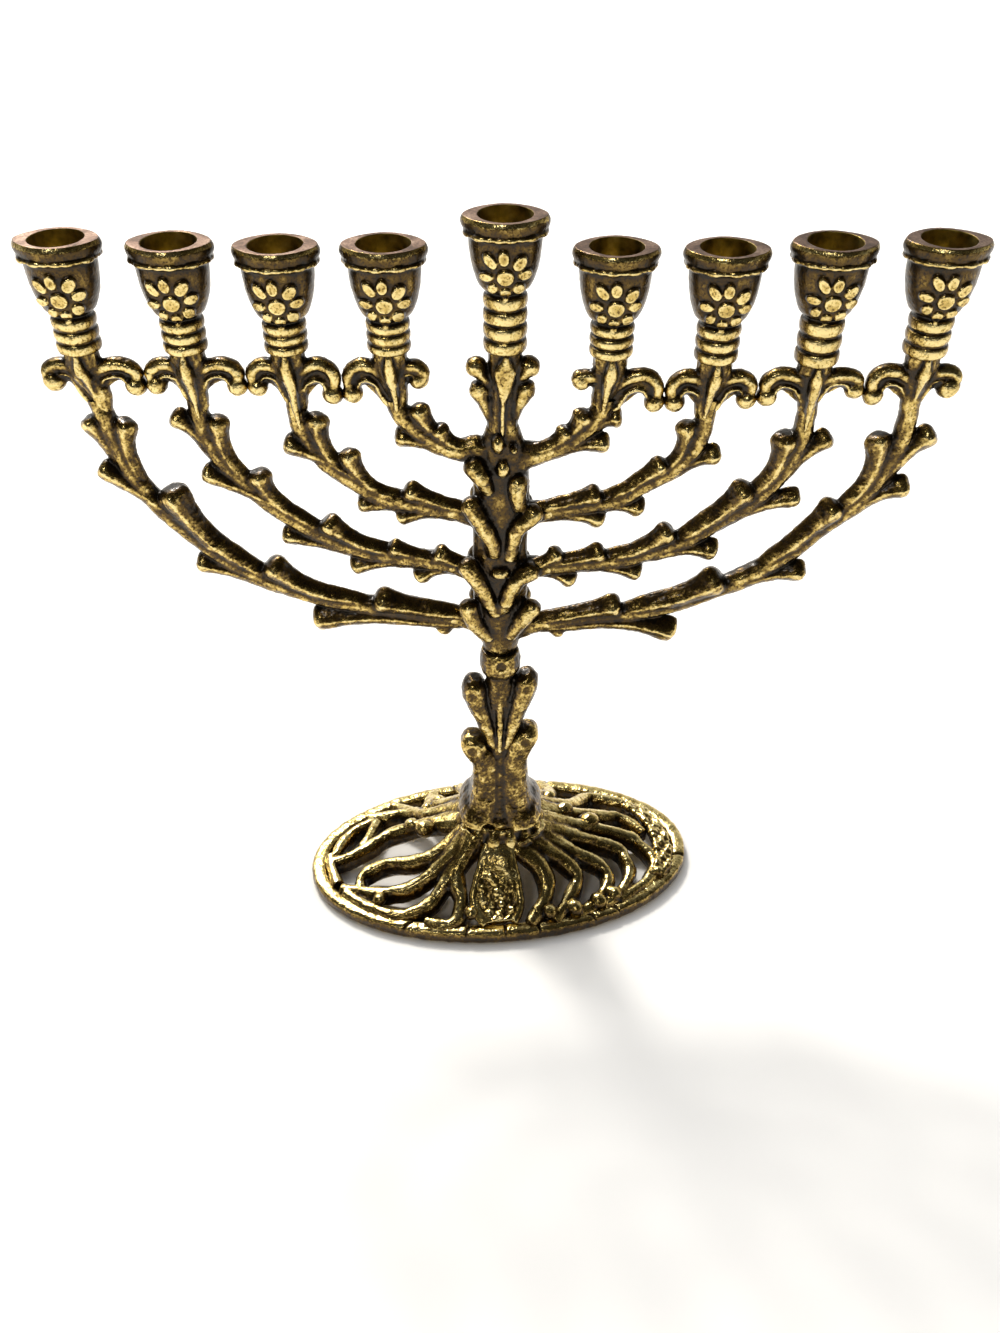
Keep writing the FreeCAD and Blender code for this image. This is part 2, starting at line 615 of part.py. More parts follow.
def roots(name):
    """A group of root-like strands, between the collar and the rim."""
    strands = []
    for line in root_shares[name]:
        points = [slope_point(x, y, root_radius) for x, y in line]
        radii = [root_radius] * len(points)
        strands.append(limb(points, radii, radii, UP))
    if name == "roots_right_front":
        strands.append(ball(slope_point(*slope_bead_shares, 0), bead_on_slope_radius))
    whole = strands[0]
    if len(strands) > 1:
        whole = strands[0].multiFuse(strands[1:])
    if name.startswith("roots_right"):
        whole = whole.cut(base_end_band())
    return whole.cut(collar_core()).common(rim_opening())


def base_pieces():
    """The base casting's sections, turned together on the table."""
    pieces = {"base_rim": base_rim(), "base_collar": base_collar(),
              "medallion_plate": medallion_plate(),
              "base_end_band": base_end_band().common(rim_opening())}
    for name in root_shares:
        pieces[name] = roots(name)
    for shape in pieces.values():
        shape.rotate(vector(0, 0, 0), UP, base_turn)
    return pieces


def base_washer():
    seat = foot_height - collar_wall
    disc = Part.makeCylinder(washer_radius, washer_thickness, vector(0, 0, seat - washer_thickness))
    hole = Part.makeCylinder(screw_radius + screw_clearance, washer_thickness + overrun,
                             vector(0, 0, seat - washer_thickness - overrun / 2))
    return disc.cut(hole)


def base_screw():
    """A pan-headed machine screw, from under the washer into the foot of the stem."""
    seat = foot_height - collar_wall - washer_thickness
    head = Part.makeCylinder(screw_head_radius, screw_head_height,
                             vector(0, 0, seat - screw_head_height))
    slot = Part.makeBox(screw_head_radius * 2 + overrun, screw_radius / 2, screw_radius / 2,
                        vector(-screw_head_radius - overrun / 2, -screw_radius / 4,
                               seat - screw_head_height))
    shank = Part.makeCylinder(screw_radius, foot_height + screw_reach - seat, vector(0, 0, seat))
    return head.cut(slot).fuse(shank)


def build():
    nodes = base_pieces()
    nodes["base_washer"] = base_washer()
    nodes["base_screw"] = base_screw()
    whole_stem = stem()
    nodes["stem_lower"] = stem_lower(whole_stem)
    nodes["stem_upper"] = stem_upper(whole_stem)
    nodes["trunk"] = trunk()
    nodes["shamash_stalk"] = shamash_stalk()
    for name in CUPS:
        nodes["arm_" + name] = arm(name)
        nodes["calyx_" + name] = calyx(name)
        nodes["cup_" + name] = cup(cup_place(name), cup_rim(name), ring_count)
    nodes["cup_shamash"] = cup(cup_pitch * middle_offset_share, rim_height + middle_rim_rise,
                               middle_ring_count)
    return nodes


os.makedirs("parts", exist_ok=True)
for node_name, node_shape in build().items():
    solids = node_shape.Solids
    print(node_name, "solids", len(solids), "volume", round(node_shape.Volume, 2),
          "valid", node_shape.isValid())
    node_shape.exportStep("parts/" + node_name + ".step")
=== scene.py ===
from math import atan2, cos, exp, hypot, pi, radians, sin, sqrt

import bmesh
import bpy
import numpy as np
from mathutils import Matrix, Vector


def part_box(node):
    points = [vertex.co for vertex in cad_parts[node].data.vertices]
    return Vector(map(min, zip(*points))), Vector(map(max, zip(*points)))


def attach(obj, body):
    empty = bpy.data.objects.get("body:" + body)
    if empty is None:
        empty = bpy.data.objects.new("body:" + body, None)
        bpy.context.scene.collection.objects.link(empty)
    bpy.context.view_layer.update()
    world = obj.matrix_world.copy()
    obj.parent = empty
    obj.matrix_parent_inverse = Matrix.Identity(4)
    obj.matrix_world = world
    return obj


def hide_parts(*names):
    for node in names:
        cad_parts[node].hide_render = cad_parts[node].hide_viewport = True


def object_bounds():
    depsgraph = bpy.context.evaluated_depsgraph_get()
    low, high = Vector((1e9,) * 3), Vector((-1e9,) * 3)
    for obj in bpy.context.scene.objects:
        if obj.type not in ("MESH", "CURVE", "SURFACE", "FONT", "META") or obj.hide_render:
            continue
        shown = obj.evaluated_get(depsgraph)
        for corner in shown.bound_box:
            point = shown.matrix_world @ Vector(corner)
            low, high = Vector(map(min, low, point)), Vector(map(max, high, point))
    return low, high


# Nine-light menorah in cast brass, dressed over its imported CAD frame. Shapes are worked out in
# millimetres and brought to metres when a piece is cast. X runs along the cups, the front is -Y.

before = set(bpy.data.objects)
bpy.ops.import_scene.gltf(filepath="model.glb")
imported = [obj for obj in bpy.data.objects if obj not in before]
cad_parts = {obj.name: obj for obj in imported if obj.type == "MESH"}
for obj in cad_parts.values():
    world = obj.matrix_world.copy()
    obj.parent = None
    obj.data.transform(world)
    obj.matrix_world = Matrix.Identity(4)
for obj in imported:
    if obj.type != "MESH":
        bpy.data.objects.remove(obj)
cad_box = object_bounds()

MM = 0.001
FRONT = Vector((0, -1, 0))
UP = Vector((0, 0, 1))

# Camera of the photograph
photo_height_pixels = 1333
photo_focal_pixels = 1210
sensor_height = 36.0
camera_place = (0.0, -0.2283, 0.2478)
camera_pitch = 38.2

# Mesh of the cast skin, in millimetres
skin_voxel = 0.3
cup_voxel = 0.26
lump_size = 2.6
lump_height = 0.4
pit_size = 0.7
pit_depth = 0.14
hollow_radius = 0.9
deep_radius = 2.1

# Section shapes: 2 is round, lower draws a section to ridges, higher squares it
ROUND = 2.0
RIDGED = 1.45
RIM_SECTION = 1.7

# Bowl and neck of a cup, from the rim down: drop, half width, half depth, section shape.
# Sizes are in shares of the bowl's height, half width and half depth
bowl_height = 14.6
bowl_shares = [
    (0.0, 0.93, 0.93, 1.7), (0.02, 0.97, 0.965, 1.7), (0.06, 1.0, 1.0, 1.7), (0.10, 1.0, 1.0, 1.7),
    (0.15, 0.965, 0.98, 1.75), (0.195, 0.90, 0.945, 1.8), (0.215, 0.90, 0.955, 1.85),
    (0.24, 0.855, 0.92, 1.9), (0.27, 0.835, 0.885, 1.9), (0.40, 0.82, 0.875, 1.95),
    (0.55, 0.79, 0.85, 2.0), (0.70, 0.735, 0.80, 2.0), (0.82, 0.665, 0.73, 2.0), (0.90, 0.60, 0.68, 2.0),
    (0.945, 0.53, 0.62, 2.0), (0.965, 0.445, 0.54, 2.0), (1.0, 0.435, 0.54, 2.0)]
ledge_drop_share = 0.21
neck_half_width = 4.35
# One neck ring from its top down: drop in shares of the ring, radius in shares of the neck
ring_shares = [(0.03, 0.86), (0.13, 0.99), (0.4, 1.02), (0.65, 1.01), (0.86, 0.97), (0.95, 0.86)]
neck_rings = 3
middle_neck_rings = 4
# The rim is cast this much too high and ground back to its height
rim_grind = 0.3
candle_bore_radius = 5.3
candle_bore_depth = 6.8
bore_taper_depth = 3.4
bore_floor_radius = 2.6
ledge_bead_count = 22
ledge_bead_radius = 0.5

# Flower on the wall of a bowl: its disc, then petals by angle, distance from the disc's middle,
# half length and half width
flower_drop_share = 0.69
disc_radius = 1.75
relief_rise = 1.15
relief_cut = 0.55
petals = [(92, 3.75, 1.6, 1.15), (42, 3.85, 1.75, 1.3), (2, 3.7, 1.6, 1.15), (-46, 3.5, 1.35, 1.3),
          (-92, 3.35, 1.25, 1.15), (-136, 3.4, 1.2, 1.05), (180, 3.6, 1.65, 1.0), (130, 4.2, 1.85, 1.1)]
petal_turn = 9.0
field_depth = 0.5
field_darkness = 0.06
# Band of the lip below the rim, in shares of the bowl's height: painted darker as a painted reflection of the
# dark room above it. Its top edge is drawn lighter
lip_shares = (0.05, 0.175)
lip_painted_reflection = 0.2
lip_edge_lightening = 0.14

# Trunk: heights of the arms in shares of the trunk's height
level_shares = {"outer": 0.155, "second": 0.397, "third": 0.638, "inner": 0.897}
ARM_LEVELS = {"1": "outer", "2": "second", "3": "third", "4": "inner",
              "5": "inner", "6": "third", "7": "second", "8": "outer"}

# Arm centre lines: x in shares of the cup's distance, z in shares of the rise from the arm's level
arm_path_shares = {
    "1": [(0.05, 0.0), (0.12, 0.015), (0.24, 0.038), (0.359, 0.068), (0.479, 0.098), (0.599, 0.158),
          (0.719, 0.248), (0.79, 0.331), (0.862, 0.429), (0.922, 0.541), (0.952, 0.647),
          (0.976, 0.782), (0.994, 0.872)],
    "2": [(0.05, -0.02), (0.192, 0.038), (0.321, 0.067), (0.449, 0.095), (0.561, 0.143),
          (0.673, 0.219), (0.769, 0.305), (0.849, 0.40), (0.913, 0.486), (0.962, 0.59),
          (0.99, 0.705), (0.998, 0.838)],
    "3": [(0.08, 0.0), (0.283, 0.057), (0.472, 0.099), (0.613, 0.143), (0.731, 0.234),
          (0.849, 0.338), (0.932, 0.468), (0.979, 0.597), (0.991, 0.779)],
    "4": [(0.18, 0.04), (0.455, 0.064), (0.636, 0.17), (0.818, 0.298), (0.955, 0.468), (1.0, 0.723)],
    "5": [(0.18, -0.02), (0.452, 0.043), (0.633, 0.149), (0.814, 0.277), (0.95, 0.468),
          (1.01, 0.723)],
    "6": [(0.08, 0.0), (0.278, 0.052), (0.464, 0.091), (0.603, 0.13), (0.719, 0.221),
          (0.835, 0.299), (0.928, 0.416), (0.974, 0.545), (0.998, 0.779)],
    "7": [(0.05, 0.0), (0.206, 0.029), (0.316, 0.048), (0.443, 0.067), (0.554, 0.114),
          (0.665, 0.171), (0.759, 0.257), (0.854, 0.343), (0.926, 0.438), (0.973, 0.552),
          (0.997, 0.667), (1.0, 0.838)],
    "8": [(0.05, -0.02), (0.142, 0.0), (0.237, 0.023), (0.355, 0.038), (0.473, 0.075),
          (0.592, 0.143), (0.686, 0.211), (0.769, 0.293), (0.828, 0.376), (0.888, 0.451),
          (0.935, 0.526), (0.97, 0.617), (0.994, 0.722), (0.994, 0.872)],
}

# Bone-shaped side twigs: knob x and z, root x and z, knob size, in shares as above
twig_shares = {
    "1": [(1.017, 0.767, 0.952, 0.632, 0.9), (0.926, 0.761, 0.931, 0.617, 0.9),
          (1.005, 0.605, 0.838, 0.361, 0.9), (0.842, 0.514, 0.75, 0.286, 1.3),
          (0.80, 0.248, 0.64, 0.165, 1.0), (0.611, 0.235, 0.491, 0.071, 1.15),
          (0.502, 0.015, 0.24, 0.018, 1.2), (0.328, 0.096, 0.18, 0.045, 1.2),
          (0.163, -0.036, 0.10, 0.0, 0.75)],
    "2": [(1.071, 0.724, 0.994, 0.587, 0.9), (0.934, 0.71, 0.925, 0.482, 0.9),
          (0.997, 0.482, 0.747, 0.248, 0.9), (0.822, 0.47, 0.777, 0.324, 1.0),
          (0.753, 0.185, 0.53, 0.10, 0.9), (0.603, 0.244, 0.473, 0.067, 1.0),
          (0.521, 0.03, 0.325, 0.042, 0.9), (0.381, 0.124, 0.256, 0.053, 0.8),
          (0.292, -0.032, 0.168, 0.0, 0.8), (0.221, 0.093, 0.14, 0.019, 0.9)],
    "3": [(1.04, 0.473, 0.778, 0.234, 0.9), (0.892, 0.618, 0.873, 0.338, 0.95),
          (0.752, 0.405, 0.613, 0.143, 0.85), (0.703, 0.096, 0.472, 0.091, 0.9),
          (0.46, 0.182, 0.236, 0.078, 0.88), (0.509, 0.01, 0.283, 0.026, 0.9)],
    "4": [(0.764, 0.464, 0.545, 0.085, 0.85), (0.95, 0.196, 0.58, 0.045, 0.9),
          (0.582, 0.268, 0.364, 0.064, 0.8)],
    "5": [(0.995, 0.128, 0.543, 0.0, 0.85), (0.787, 0.404, 0.633, 0.106, 0.9),
          (0.633, 0.247, 0.43, 0.0, 0.85), (1.095, 0.383, 0.905, 0.277, 0.9)],
    "6": [(0.896, 0.577, 0.87, 0.343, 0.85), (1.056, 0.397, 0.893, 0.291, 0.9),
          (0.796, 0.34, 0.65, 0.13, 0.9), (0.703, 0.065, 0.534, 0.065, 0.9),
          (0.48, 0.156, 0.278, 0.052, 0.9), (0.508, -0.01, 0.255, 0.013, 0.9)],
    "7": [(0.941, 0.636, 0.926, 0.448, 1.1), (1.079, 0.632, 0.985, 0.486, 0.9),
          (0.834, 0.40, 0.736, 0.219, 1.2), (1.009, 0.362, 0.80, 0.27, 0.9),
          (0.584, 0.202, 0.459, 0.086, 1.0), (0.747, 0.107, 0.57, 0.10, 1.0),
          (0.353, 0.099, 0.222, 0.038, 0.9), (0.487, -0.006, 0.316, 0.01, 0.9),
          (0.201, 0.093, 0.13, 0.019, 0.8), (0.255, -0.051, 0.14, -0.01, 0.8)],
    "8": [(1.059, 0.722, 0.985, 0.60, 1.0), (0.934, 0.71, 0.917, 0.507, 1.0),
          (1.025, 0.538, 0.923, 0.457, 1.0), (0.856, 0.462, 0.781, 0.301, 1.15),
          (0.80, 0.211, 0.66, 0.17, 1.0), (0.579, 0.18, 0.45, 0.083, 1.3),
          (0.469, -0.036, 0.24, 0.012, 1.2), (0.314, 0.075, 0.178, 0.015, 1.05),
          (0.166, -0.045, 0.10, -0.015, 0.75)],
}
arm_radius = 2.35
# How far an arm runs into the trunk, and how far into its leaf stalk
arm_seat_depth = 2.6
arm_lap = 1.8
knob_radius = 2.75
# A bone before its root: run back along the limb in shares of its length, offset and radius in
# shares of its knob's radius. Then from root to knob: share of its length, radius
bone_lead_shares = [(0.9, 0.1, 0.4), (0.45, 0.35, 0.66)]
bone_seat_share = 0.5
bone_overlap = 0.55
twig_profile_shares = [(0.0, 0.76), (0.3, 0.78), (0.6, 0.83), (0.8, 0.95), (0.92, 1.07), (1.0, 1.04)]
# Round end of a knob: past its centre and radius, both in shares of its radius
knob_end_shares = [(0.22, 0.9), (0.38, 0.62), (0.44, 0.3)]

# Scroll ends under the cups: reach of a free end in shares of the pitch, or the plane that it
# meets in shares of the step to the next cup; ball height in shares of the drop; ball size
scroll_shares = {
    "1": {"left": ("free", 0.31, 0.29, 1.05), "right": ("meet", 0.564, 0.0, 1.0)},
    "2": {"left": ("meet", 0.564, 0.07, 1.0), "right": ("meet", 0.56, -0.02, 0.95)},
    "3": {"left": ("meet", 0.56, -0.05, 0.95), "right": ("meet", 0.51, -0.45, 0.95)},
    "4": {"left": ("meet", 0.51, -0.40, 0.95), "right": ("free", 0.267, 0.29, 0.9)},
    "5": {"left": ("free", 0.27, 0.2, 0.85), "right": ("meet", 0.548, -0.85, 0.95)},
    "6": {"left": ("meet", 0.548, -0.85, 0.95), "right": ("meet", 0.458, -0.7, 0.95)},
    "7": {"left": ("meet", 0.458, -0.55, 0.95), "right": ("meet", 0.502, -0.2, 0.9)},
    "8": {"left": ("meet", 0.502, -0.5, 0.95), "right": ("free", 0.30, -0.05, 1.1)},
}
# The trunk's core: x, height in shares of the trunk's, half width and half depth
trunk_core_shares = [(0, 0.12, 5.4, 3.3), (0, 0.31, 6.3, 3.3), (0, 0.53, 6.1, 3.2), (0.3, 0.78, 6.1, 3.2)]
# Twigs and beads on the trunk's faces, in shares of its half width and height. A twig runs from
# its knob down to its root; a bead is x, z, half width and half height in millimetres
trunk_twig_shares = [
    [(-0.73, 0.87), (-0.51, 0.828), (-0.31, 0.769)],
    [(-0.83, 0.709), (-0.49, 0.629), (-0.22, 0.557), (-0.17, 0.493)],
    [(-0.95, 0.438), (-0.75, 0.40), (-0.39, 0.305), (-0.10, 0.216)],
    [(-0.95, 0.247), (-0.77, 0.176), (-0.33, 0.095)],
    [(0.51, 0.803), (0.51, 0.752), (0.56, 0.70)],
    [(0.95, 0.674), (0.80, 0.655), (0.45, 0.602), (0.31, 0.474)],
    [(0.89, 0.419), (0.47, 0.381), (0.18, 0.284), (0.08, 0.24)],
    [(0.95, 0.247), (0.67, 0.197), (0.29, 0.105)],
]
trunk_twig_radius = 2.4
trunk_front = 3.25
# Widening of an arm where it leaves the trunk: distance from the middle, half width
arm_root_sizes = [(4.5, 3.6), (6.8, 3.0), (9.0, 2.4), (11.5, 1.8)]
back_twig_share = 0.7
trunk_bead_shares = [(0.08, 0.869, 1.4, 2.1), (0.01, 0.419, 2.1, 1.6), (0.38, 0.95, 0.9, 1.0),
                     (-0.05, 0.97, 1.4, 2.3)]
# Leaf and curls of the middle stalk, in shares of its half width and height
stalk_leaf_shares = [(0.0, 0.0, 0.0, 0.4), (0.0, 0.1, 0.25, 0.6), (0.02, 0.3, 0.45, 0.7),
                     (0.04, 0.8, 0.62, 1.5), (0.06, 1.0, 0.80, 2.1), (0.08, 0.9, 0.93, 1.3),
                     (0.09, 0.8, 1.02, 0.5)]
stalk_curl_shares = [
    [(-0.22, 0.05, 1.0), (-0.42, 0.30, 1.4), (-0.58, 0.50, 2.1), (-0.60, 0.60, 1.7)],
    [(0.22, 0.05, 1.0), (0.40, 0.30, 1.4), (0.58, 0.51, 2.1), (0.61, 0.61, 1.7)],
    [(-0.15, 0.42, 1.0), (-0.42, 0.64, 1.3), (-0.68, 0.80, 2.0), (-0.70, 0.88, 1.6)],
    [(0.18, 0.42, 1.0), (0.44, 0.64, 1.3), (0.68, 0.80, 2.1), (0.71, 0.88, 1.7)],
]
# Balls at the scrolls' ends: drop below the necks' foot, rise and radius. A ball meets its
# neighbour at this share of its radius
scroll_touch_share = 0.86
scroll_ball_drop = 7.5
scroll_ball_rise = 4.3
scroll_ball_radius = 2.5
# Band, inner rib and web of a scroll, from the stalk to the ball: across in shares of its reach,
# down in shares of the drop from the band to the ball, half width and half depth
scroll_band_shares = [(0.12, 0.35, 1.5, 1.7), (0.36, 0.02, 1.5, 1.7), (0.60, -0.06, 1.5, 1.7),
                      (0.79, 0.14, 1.5, 1.7), (0.86, 0.48, 1.45, 1.7), (0.80, 0.9, 1.3, 1.6)]
scroll_rib_shares = [(0.30, 0.62, 0.75, 1.6), (0.46, 0.46, 0.7, 1.7), (0.60, 0.5, 0.65, 1.6),
                     (0.68, 0.75, 0.6, 1.5)]
scroll_web_shares = [(0.1, 0.9, 2.4, 1.0), (0.5, 0.35, 1.8, 1.0), (0.76, 0.6, 1.6, 1.0)]
# How far a neck reaches past the others' foot, how far a scroll's top lies below that foot, and
# the tip of the leaf in front of each cup's stalk, in the same way
neck_reach = {"5": 1.0, "6": 2.0, "7": 2.6, "8": 0.8}
scroll_top_drops = {"1": 3.2, "2": 3.2, "3": 3.3, "4": 3.5, "5": 5.6, "6": 5.9, "7": 5.4, "8": 4.6}
leaf_tip_drops = {"1": 9.0, "2": 14.0, "3": 16.5, "4": 13.0, "5": 13.0, "6": 14.0, "7": 17.0, "8": 10.0}

# The two bones of the upper stem from foot to knob: x, z, half width and half depth
stem_bone_left = [(-1.3, 44.5, 1.2, 3.9), (-2.4, 48.0, 1.8, 4.2), (-3.2, 51.0, 2.2, 4.2),
                  (-4.1, 54.0, 2.5, 4.0), (-5.2, 57.0, 2.8, 3.9), (-6.0, 60.0, 3.1, 3.8),
                  (-6.3, 62.3, 3.0, 3.7), (-6.1, 64.0, 2.5, 3.1), (-5.8, 65.1, 1.4, 1.7)]
stem_bone_right = [(1.3, 44.5, 1.2, 3.9), (2.3, 48.0, 1.8, 4.2), (3.0, 51.0, 2.2, 4.2),
                   (3.8, 54.5, 2.4, 4.0), (4.8, 58.0, 2.7, 3.9), (5.8, 61.5, 3.0, 3.8),
                   (6.3, 64.0, 3.0, 3.7), (6.3, 65.8, 2.5, 3.1), (6.1, 66.9, 1.4, 1.7)]
# The lower stem's core: height in shares of its own, half width and half depth in shares of the
# foot's radius. Then the floor of its groove: height over the foot, half width and half depth
stem_core_shares = [(0.12, 0.66, 0.62), (0.24, 0.5, 0.46), (0.45, 0.38, 0.34)]
stem_groove = [(-0.2, 3.0, 8.2), (4.5, 2.5, 6.6), (9, 2.0, 5.3), (14, 1.5, 4.4), (20, 1.0, 3.2)]
# The bone on each side of it: height over the foot, x, half width and half depth, and its knob
# the same way, from the knob's top and reach. The tops are by side, height and reach
foot_bone = [(-0.2, 5.5, 5.7, 9.2), (1.6, 5.0, 5.3, 8.7), (4.5, 4.0, 4.4, 7.4), (9, 3.45, 3.8, 6.0),
             (14, 3.4, 3.6, 5.0), (19, 3.8, 3.3, 4.4)]
foot_knob = [(-5.2, -1.1, 3.3, 4.1), (-2.6, 0.0, 3.5, 3.9), (-0.9, 0.2, 2.9, 3.2), (0.2, 0.0, 1.6, 1.8)]
foot_knob_tops = [(-1, 46.9, 6.4), (1, 49.6, 6.1)]

# Base: the turn on the table, and its slope from the hub to the rim
base_turn = 5.7
rim_thickness = 4.0
rim_width = 3.9
rim_cut_bearings = [-133, -107, -87, -69, -43, -33, -1, 64, 118]
rim_cut_half_width = 0.5
rim_cut_depth = 0.8
screw_hole_radius = 2.2
collar_wall = 3.9
collar_root_bearings = [-150, -125, -100, -74, -50, -24, 0, 25, 52, 80, 108, 136, 164, -172]
slope_foot = 4.6
slope_rise = 13.6
slope_power = 1.7
hub_radius = 12.0
# How far the roots and the plate stand out of the slope, and the height at which roots start
slope_proud = 0.3
hub_top = 18.6
root_radius = 1.8
root_thickness = 6.0
root_reach = 0.9
hub_spread = 0.9
hub_spread_length = 7.0

# Root strands on the base: x and y in shares of the base's half length and half width
root_shares = {
    "roots_left_front": [
        [(-0.15, -0.25), (-0.235, -0.40), (-0.25, -0.53), (-0.235, -0.64), (-0.25, -0.77),
         (-0.295, -0.84), (-0.37, -0.84), (-0.43, -0.80)],
        [(-0.23, -0.38), (-0.34, -0.56), (-0.39, -0.63), (-0.49, -0.69), (-0.59, -0.67),
         (-0.69, -0.62), (-0.745, -0.53), (-0.80, -0.44), (-0.94, -0.42)],
        [(-0.20, -0.25), (-0.37, -0.40), (-0.49, -0.46), (-0.57, -0.46), (-0.67, -0.43),
         (-0.745, -0.385), (-0.92, -0.35)],
        [(-0.17, -0.12), (-0.35, -0.245), (-0.47, -0.23), (-0.59, -0.17), (-0.685, -0.185),
         (-0.735, -0.245), (-0.745, -0.37)],
        [(-0.87, -0.42), (-0.80, -0.52), (-0.755, -0.60), (-0.705, -0.64)]],
    "roots_left_back": [
        [(-0.90, 0.105), (-0.89, -0.07), (-0.89, -0.28)],
        [(-0.18, 0.05), (-0.39, 0.15), (-0.55, 0.21), (-0.61, 0.18), (-0.685, 0.12),
         (-0.80, 0.035), (-0.93, 0.02)],
        [(-0.65, 0.46), (-0.685, 0.28), (-0.725, 0.12)],
        [(-0.17, 0.18), (-0.37, 0.315), (-0.43, 0.44), (-0.51, 0.51), (-0.61, 0.54),
         (-0.74, 0.60)],
        [(-0.66, 0.5), (-0.78, 0.38), (-0.84, 0.24), (-0.875, 0.09)],
        [(-0.45, 0.47), (-0.51, 0.62), (-0.60, 0.76)],
        [(-0.15, 0.27), (-0.31, 0.455), (-0.35, 0.63), (-0.32, 0.84)]],
    "roots_right_front": [
        [(0.09, -0.33), (0.167, -0.455), (0.204, -0.56), (0.192, -0.70), (0.137, -0.825),
         (0.11, -0.93)],
        [(0.15, -0.27), (0.275, -0.37), (0.343, -0.44), (0.367, -0.525), (0.333, -0.65),
         (0.285, -0.77), (0.235, -0.91)],
        [(0.18, -0.17), (0.35, -0.30), (0.47, -0.35), (0.52, -0.42), (0.533, -0.51),
         (0.50, -0.63), (0.44, -0.74), (0.38, -0.88)],
        [(0.19, -0.10), (0.43, -0.14), (0.61, -0.175), (0.645, -0.28), (0.66, -0.385),
         (0.635, -0.51), (0.58, -0.65), (0.52, -0.81)],
        [(0.19, -0.03), (0.47, 0.02), (0.695, -0.01), (0.745, -0.09), (0.79, -0.195),
         (0.80, -0.315), (0.765, -0.455), (0.705, -0.56), (0.61, -0.74)]],
    "roots_right_back": [
        [(0.17, 0.14), (0.37, 0.15), (0.57, 0.245), (0.655, 0.265), (0.725, 0.195),
         (0.78, 0.06)],
        [(0.16, 0.20), (0.36, 0.29), (0.45, 0.455), (0.52, 0.60), (0.61, 0.58), (0.72, 0.51)],
        [(0.13, 0.30), (0.27, 0.43), (0.31, 0.63), (0.285, 0.86)],
        [(0.06, 0.36), (0.13, 0.6), (0.12, 0.88)]],
    "roots_back": [
        [(-0.06, 0.36), (-0.14, 0.63), (-0.17, 0.88)]],
}
# Lumps on the roots: x and y in millimetres before the turn, radius
root_lumps = {
    "roots_left_front": [(-9.5, -22.5, 1.9), (-33, -15, 1.7)],
    "roots_left_back": [(-20, 1.5, 2.5), (-23.5, 5.5, 1.9), (-15.5, 15, 1.9), (-19, 12, 1.6)],
    "roots_right_front": [(10.5, -23.4, 1.9), (17.2, -22.6, 2.2), (23.6, -20.8, 2.2), (28, -18.8, 2.0)],
    "roots_right_back": [(24.5, 2.0, 2.6), (18, 4.5, 2.1), (14.5, 10.5, 1.8)],
    "roots_back": [(-4.5, 17, 1.8)],
}
# The medallion's plate: x and y in the same shares, half width in shares of its own
plate_shares = [(-0.02, -0.33, 0.50), (-0.035, -0.45, 0.60), (-0.055, -0.58, 0.84),
                (-0.062, -0.70, 0.98), (-0.062, -0.80, 0.96), (-0.06, -0.88, 0.80)]
# Raised border of the medallion, in shares of the base's half sizes
border_shares = [[(-0.085, -0.33), (-0.13, -0.50), (-0.172, -0.66), (-0.165, -0.79), (-0.12, -0.89)],
                 [(0.03, -0.33), (0.04, -0.50), (0.058, -0.64), (0.058, -0.78), (0.02, -0.89)]]
border_radius = 1.15
medallion_centre = (-0.06, -0.715)
medallion_half_width = 4.3
medallion_half_height = 4.6
oval_depth = 0.5
pebble_radius = 0.95
pebble_spacing = 1.6
plate_half_width = 6.3
plate_half_thickness = 1.2
# Middle line of the pebbled band at the right end, in shares of the base's half sizes
band_shares = [(0.74, 0.44), (0.80, 0.31), (0.845, 0.15), (0.862, 0.0), (0.862, -0.16),
               (0.843, -0.33), (0.80, -0.45)]
band_half_width = 2.3
band_half_thickness = 1.1

# Studio: the card's glow, and how far round the object that glow is darkened as painted shadow, in
# millimetres. Then the room that the metal reflects, from the pale side behind and below to the dark side
# ahead and overhead
card_glow = 0.54
painted_shadow_reach = 60.0
room_strength = 0.8
room_lean = (0.0, -0.33, 0.375)
room_stops = [(0.3, "F2F1EE"), (0.48, "C5C4BE"), (0.62, "72706A"), (0.8, "393833"), (1.0, "2B2A27")]
lamps = [("window", (-0.56, 1.0, 1.5), (0, 0, 0.05), 0.3, 24.0),
         ("blind", (-0.85, 1.1, 1.6), (0, 0, 0.05), 1.7, 22.0),
         ("lamp", (-0.45, -1.3, 1.25), (0, 0, 0.12), 0.3, 3.0)]


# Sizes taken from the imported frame

def corners(node):
    """Lowest and highest corner of a CAD node, in millimetres."""
    low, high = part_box(node)
    return Vector(low) / MM, Vector(high) / MM


def cup_place(name):
    low, high = corners("cup_" + name)
    return (low.x + high.x) / 2


def level_height(name):
    low, high = corners("trunk")
    return low.z + (high.z - low.z) * level_shares[ARM_LEVELS[name]]


neck_base = corners("cup_1")[0].z
cup_pitch = (cup_place("8") - cup_place("1")) / 8


def base_halves():
    """Half length and half width of the base's oval, from the box of the turned rim."""
    low, high = corners("base_rim")
    across, deep = ((high.x - low.x) / 2) ** 2, ((high.y - low.y) / 2) ** 2
    turn = radians(base_turn)
    spread = cos(turn) ** 2 - sin(turn) ** 2
    half_length = sqrt((across * cos(turn) ** 2 - deep * sin(turn) ** 2) / spread)
    half_width = sqrt((deep * cos(turn) ** 2 - across * sin(turn) ** 2) / spread)
    return half_length, half_width


base_half_length, base_half_width = base_halves()


# Drawing strands and beads

def ring_radius(angle, power):
    """Radius of a unit ring at an angle. The power sets how far it is drawn to ridges."""
    return (abs(cos(angle)) ** power + abs(sin(angle)) ** power) ** (-1 / power)


